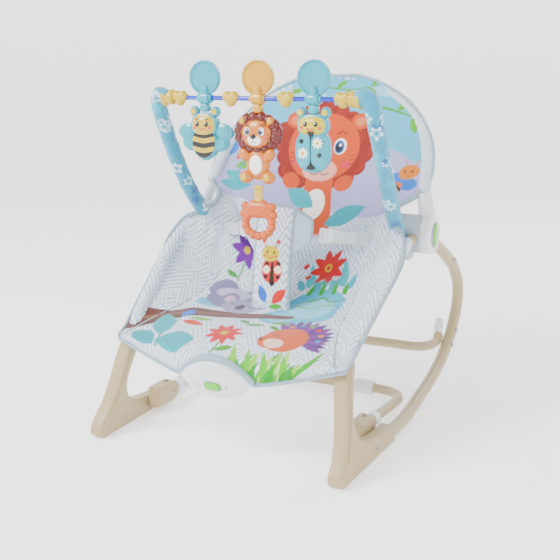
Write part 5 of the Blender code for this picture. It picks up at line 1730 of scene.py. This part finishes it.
def build_ladybird():
    x, model = 0.090, Model("ladybird")
    feelers(model, x, 0.0190, 0.4905, 0.0080, 0.0045, LEMON)
    model.pad(oval(0.0275, 0.0320, 44, power=2.3), 0.0130, (x, BAR_Y, 0.4370), TEAL, dome=0.25,
              rounding=0.0035)
    model.pad(oval(0.0245, 0.0290, 44, power=2.2), 0.0160, (x, BAR_Y, 0.4370), TEAL, dome=0.5,
              rounding=0.0035)
    top = FRONT - 0.0034
    model.tube([(x, top + 0.0005, 0.4640), (x, top - 0.0002, 0.4450), (x, top, 0.4250),
                (x, top + 0.0010, 0.4120)],
               0.0006, BLACK, 6)
    model.pad([(-0.0060, 0.0030), (0.0060, 0.0030), (0.0, -0.0080)], 0.0014, (x, top + 0.0006, 0.4610),
              BLACK, rounding=0.0004)
    model.pad([(-0.0078, -0.0045), (-0.004, 0.000), (0.0, 0.0060), (0.004, 0.000), (0.0078, -0.0045),
               (0, -0.0065)],
              0.0014, (x, top + 0.0014, 0.4155), BLACK, rounding=0.0004)
    for dx, z in ((-0.0150, 0.4500), (0.0135, 0.4310)):
        model.spot((x + dx, top + 0.0016, z), (0.0034, 0.0034), BLACK, lift=0.0008)
    for dx, z in ((0.0110, 0.4480), (-0.0120, 0.4330)):
        for k in range(9):
            a = 2 * math.pi * k / 9
            model.spot((x + dx + 0.0052 * math.cos(a), top + 0.0006, z + 0.0052 * math.sin(a)),
                       (0.0034, 0.0016), PAPER, a, 0.0008)
        model.spot((x + dx, top - 0.0002, z), (0.0026, 0.0026), YELLOW, lift=0.0009)
    bug_head(model, x, 0.4720, (0.0240, 0.0165), (0.0215, 0.0142), 2.4, LEMON)
    for side in (-1, 1):
        eye = (x + side * 0.0082, FRONT - 0.0043, 0.4745)
        model.spot(eye, (0.0030, 0.0036), BLACK)
        model.spot((eye[0] - 0.0008, eye[1] - 0.0007, eye[2] + 0.0012), (0.0010, 0.0012), PAPER)
        model.spot((x + side * 0.0140, FRONT - 0.0030, 0.4690), (0.0028, 0.0020), PINK)
    model.tube([(x - 0.0050, FRONT - 0.0046, 0.4680), (x, FRONT - 0.0046, 0.4652),
                (x + 0.0050, FRONT - 0.0046, 0.4680)],
               0.0009, RED, 6)
    model.done("ladybird_unit", "teal_plastic", ("toy_ladybird",))


def build_teether():
    """A yellow strap with a bumpy ring, wide at the top and with a hole for small fingers."""
    strap = Model("teether_tape")
    strap.take(*strap_mesh([at(0, BAR_Y, z) for z in np.linspace(0.3810, 0.3560, 8)], 0.0130,
                           Vector((1, 0, 0)), 0.0030),
               YELLOW, False)
    for z in (0.3790, 0.3590):
        strap.pad(oval(0.0074, 0.0030, 20, power=3), 0.0052, (0, BAR_Y, z), YELLOW, rounding=0.001)
    strap.done("teether", "yellow_plastic", ("teether_strap",))
    ring = Model("teether_gel")
    cz = 0.3270
    for k in range(13):
        a = math.radians(118 + k * (304 / 12))
        px, pz = 0.0225 * math.cos(a), cz - 0.003 + 0.0195 * math.sin(a)
        size = 0.0068 + 0.0003 * (k % 2)
        ring.ball((px, BAR_Y, pz), (size, 0.0062, size), CORAL_GEL)
    loop = [(0.0215 * math.cos(a), BAR_Y, cz - 0.003 + 0.0185 * math.sin(a))
            for a in np.linspace(0, 2 * math.pi, 26)]
    ring.take(*sweep([Vector(p) for p in loop], 0.0048, 12), CORAL_GEL)
    ring.pad(oval(0.0245, 0.0120, 40, power=3.0), 0.0120, (0, BAR_Y, cz + 0.0175), CORAL_GEL, dome=0.35,
             rounding=0.0035)
    for dx, dz in ((-0.0225, 0.0225), (0.0225, 0.0225), (-0.0075, 0.0270), (0.0075, 0.0270),
                   (-0.0250, 0.0110), (0.0250, 0.0110)):
        ring.ball((dx, BAR_Y, cz + dz), (0.0068, 0.0060, 0.0066), CORAL_GEL)
    for dx, dz in ((-0.0120, 0.0190), (0.0, 0.0205), (0.0120, 0.0190)):
        ring.ball((dx, BAR_Y - 0.0058, cz + dz), (0.0048, 0.0030, 0.0048), CORAL_GEL)
    ring.done("teether", "orange_silicone", ("teether_ring",))


build_sleeves()
build_crotch_pad()
build_belts()
build_toy_bar()
clip("left", -0.090, TEAL, "bee_unit", "teal_plastic")
clip("middle", 0.0, AMBER, "lion_unit", "yellow_plastic")
clip("right", 0.090, TEAL, "ladybird_unit", "teal_plastic")
build_bee()
build_lion()
build_ladybird()
build_teether()
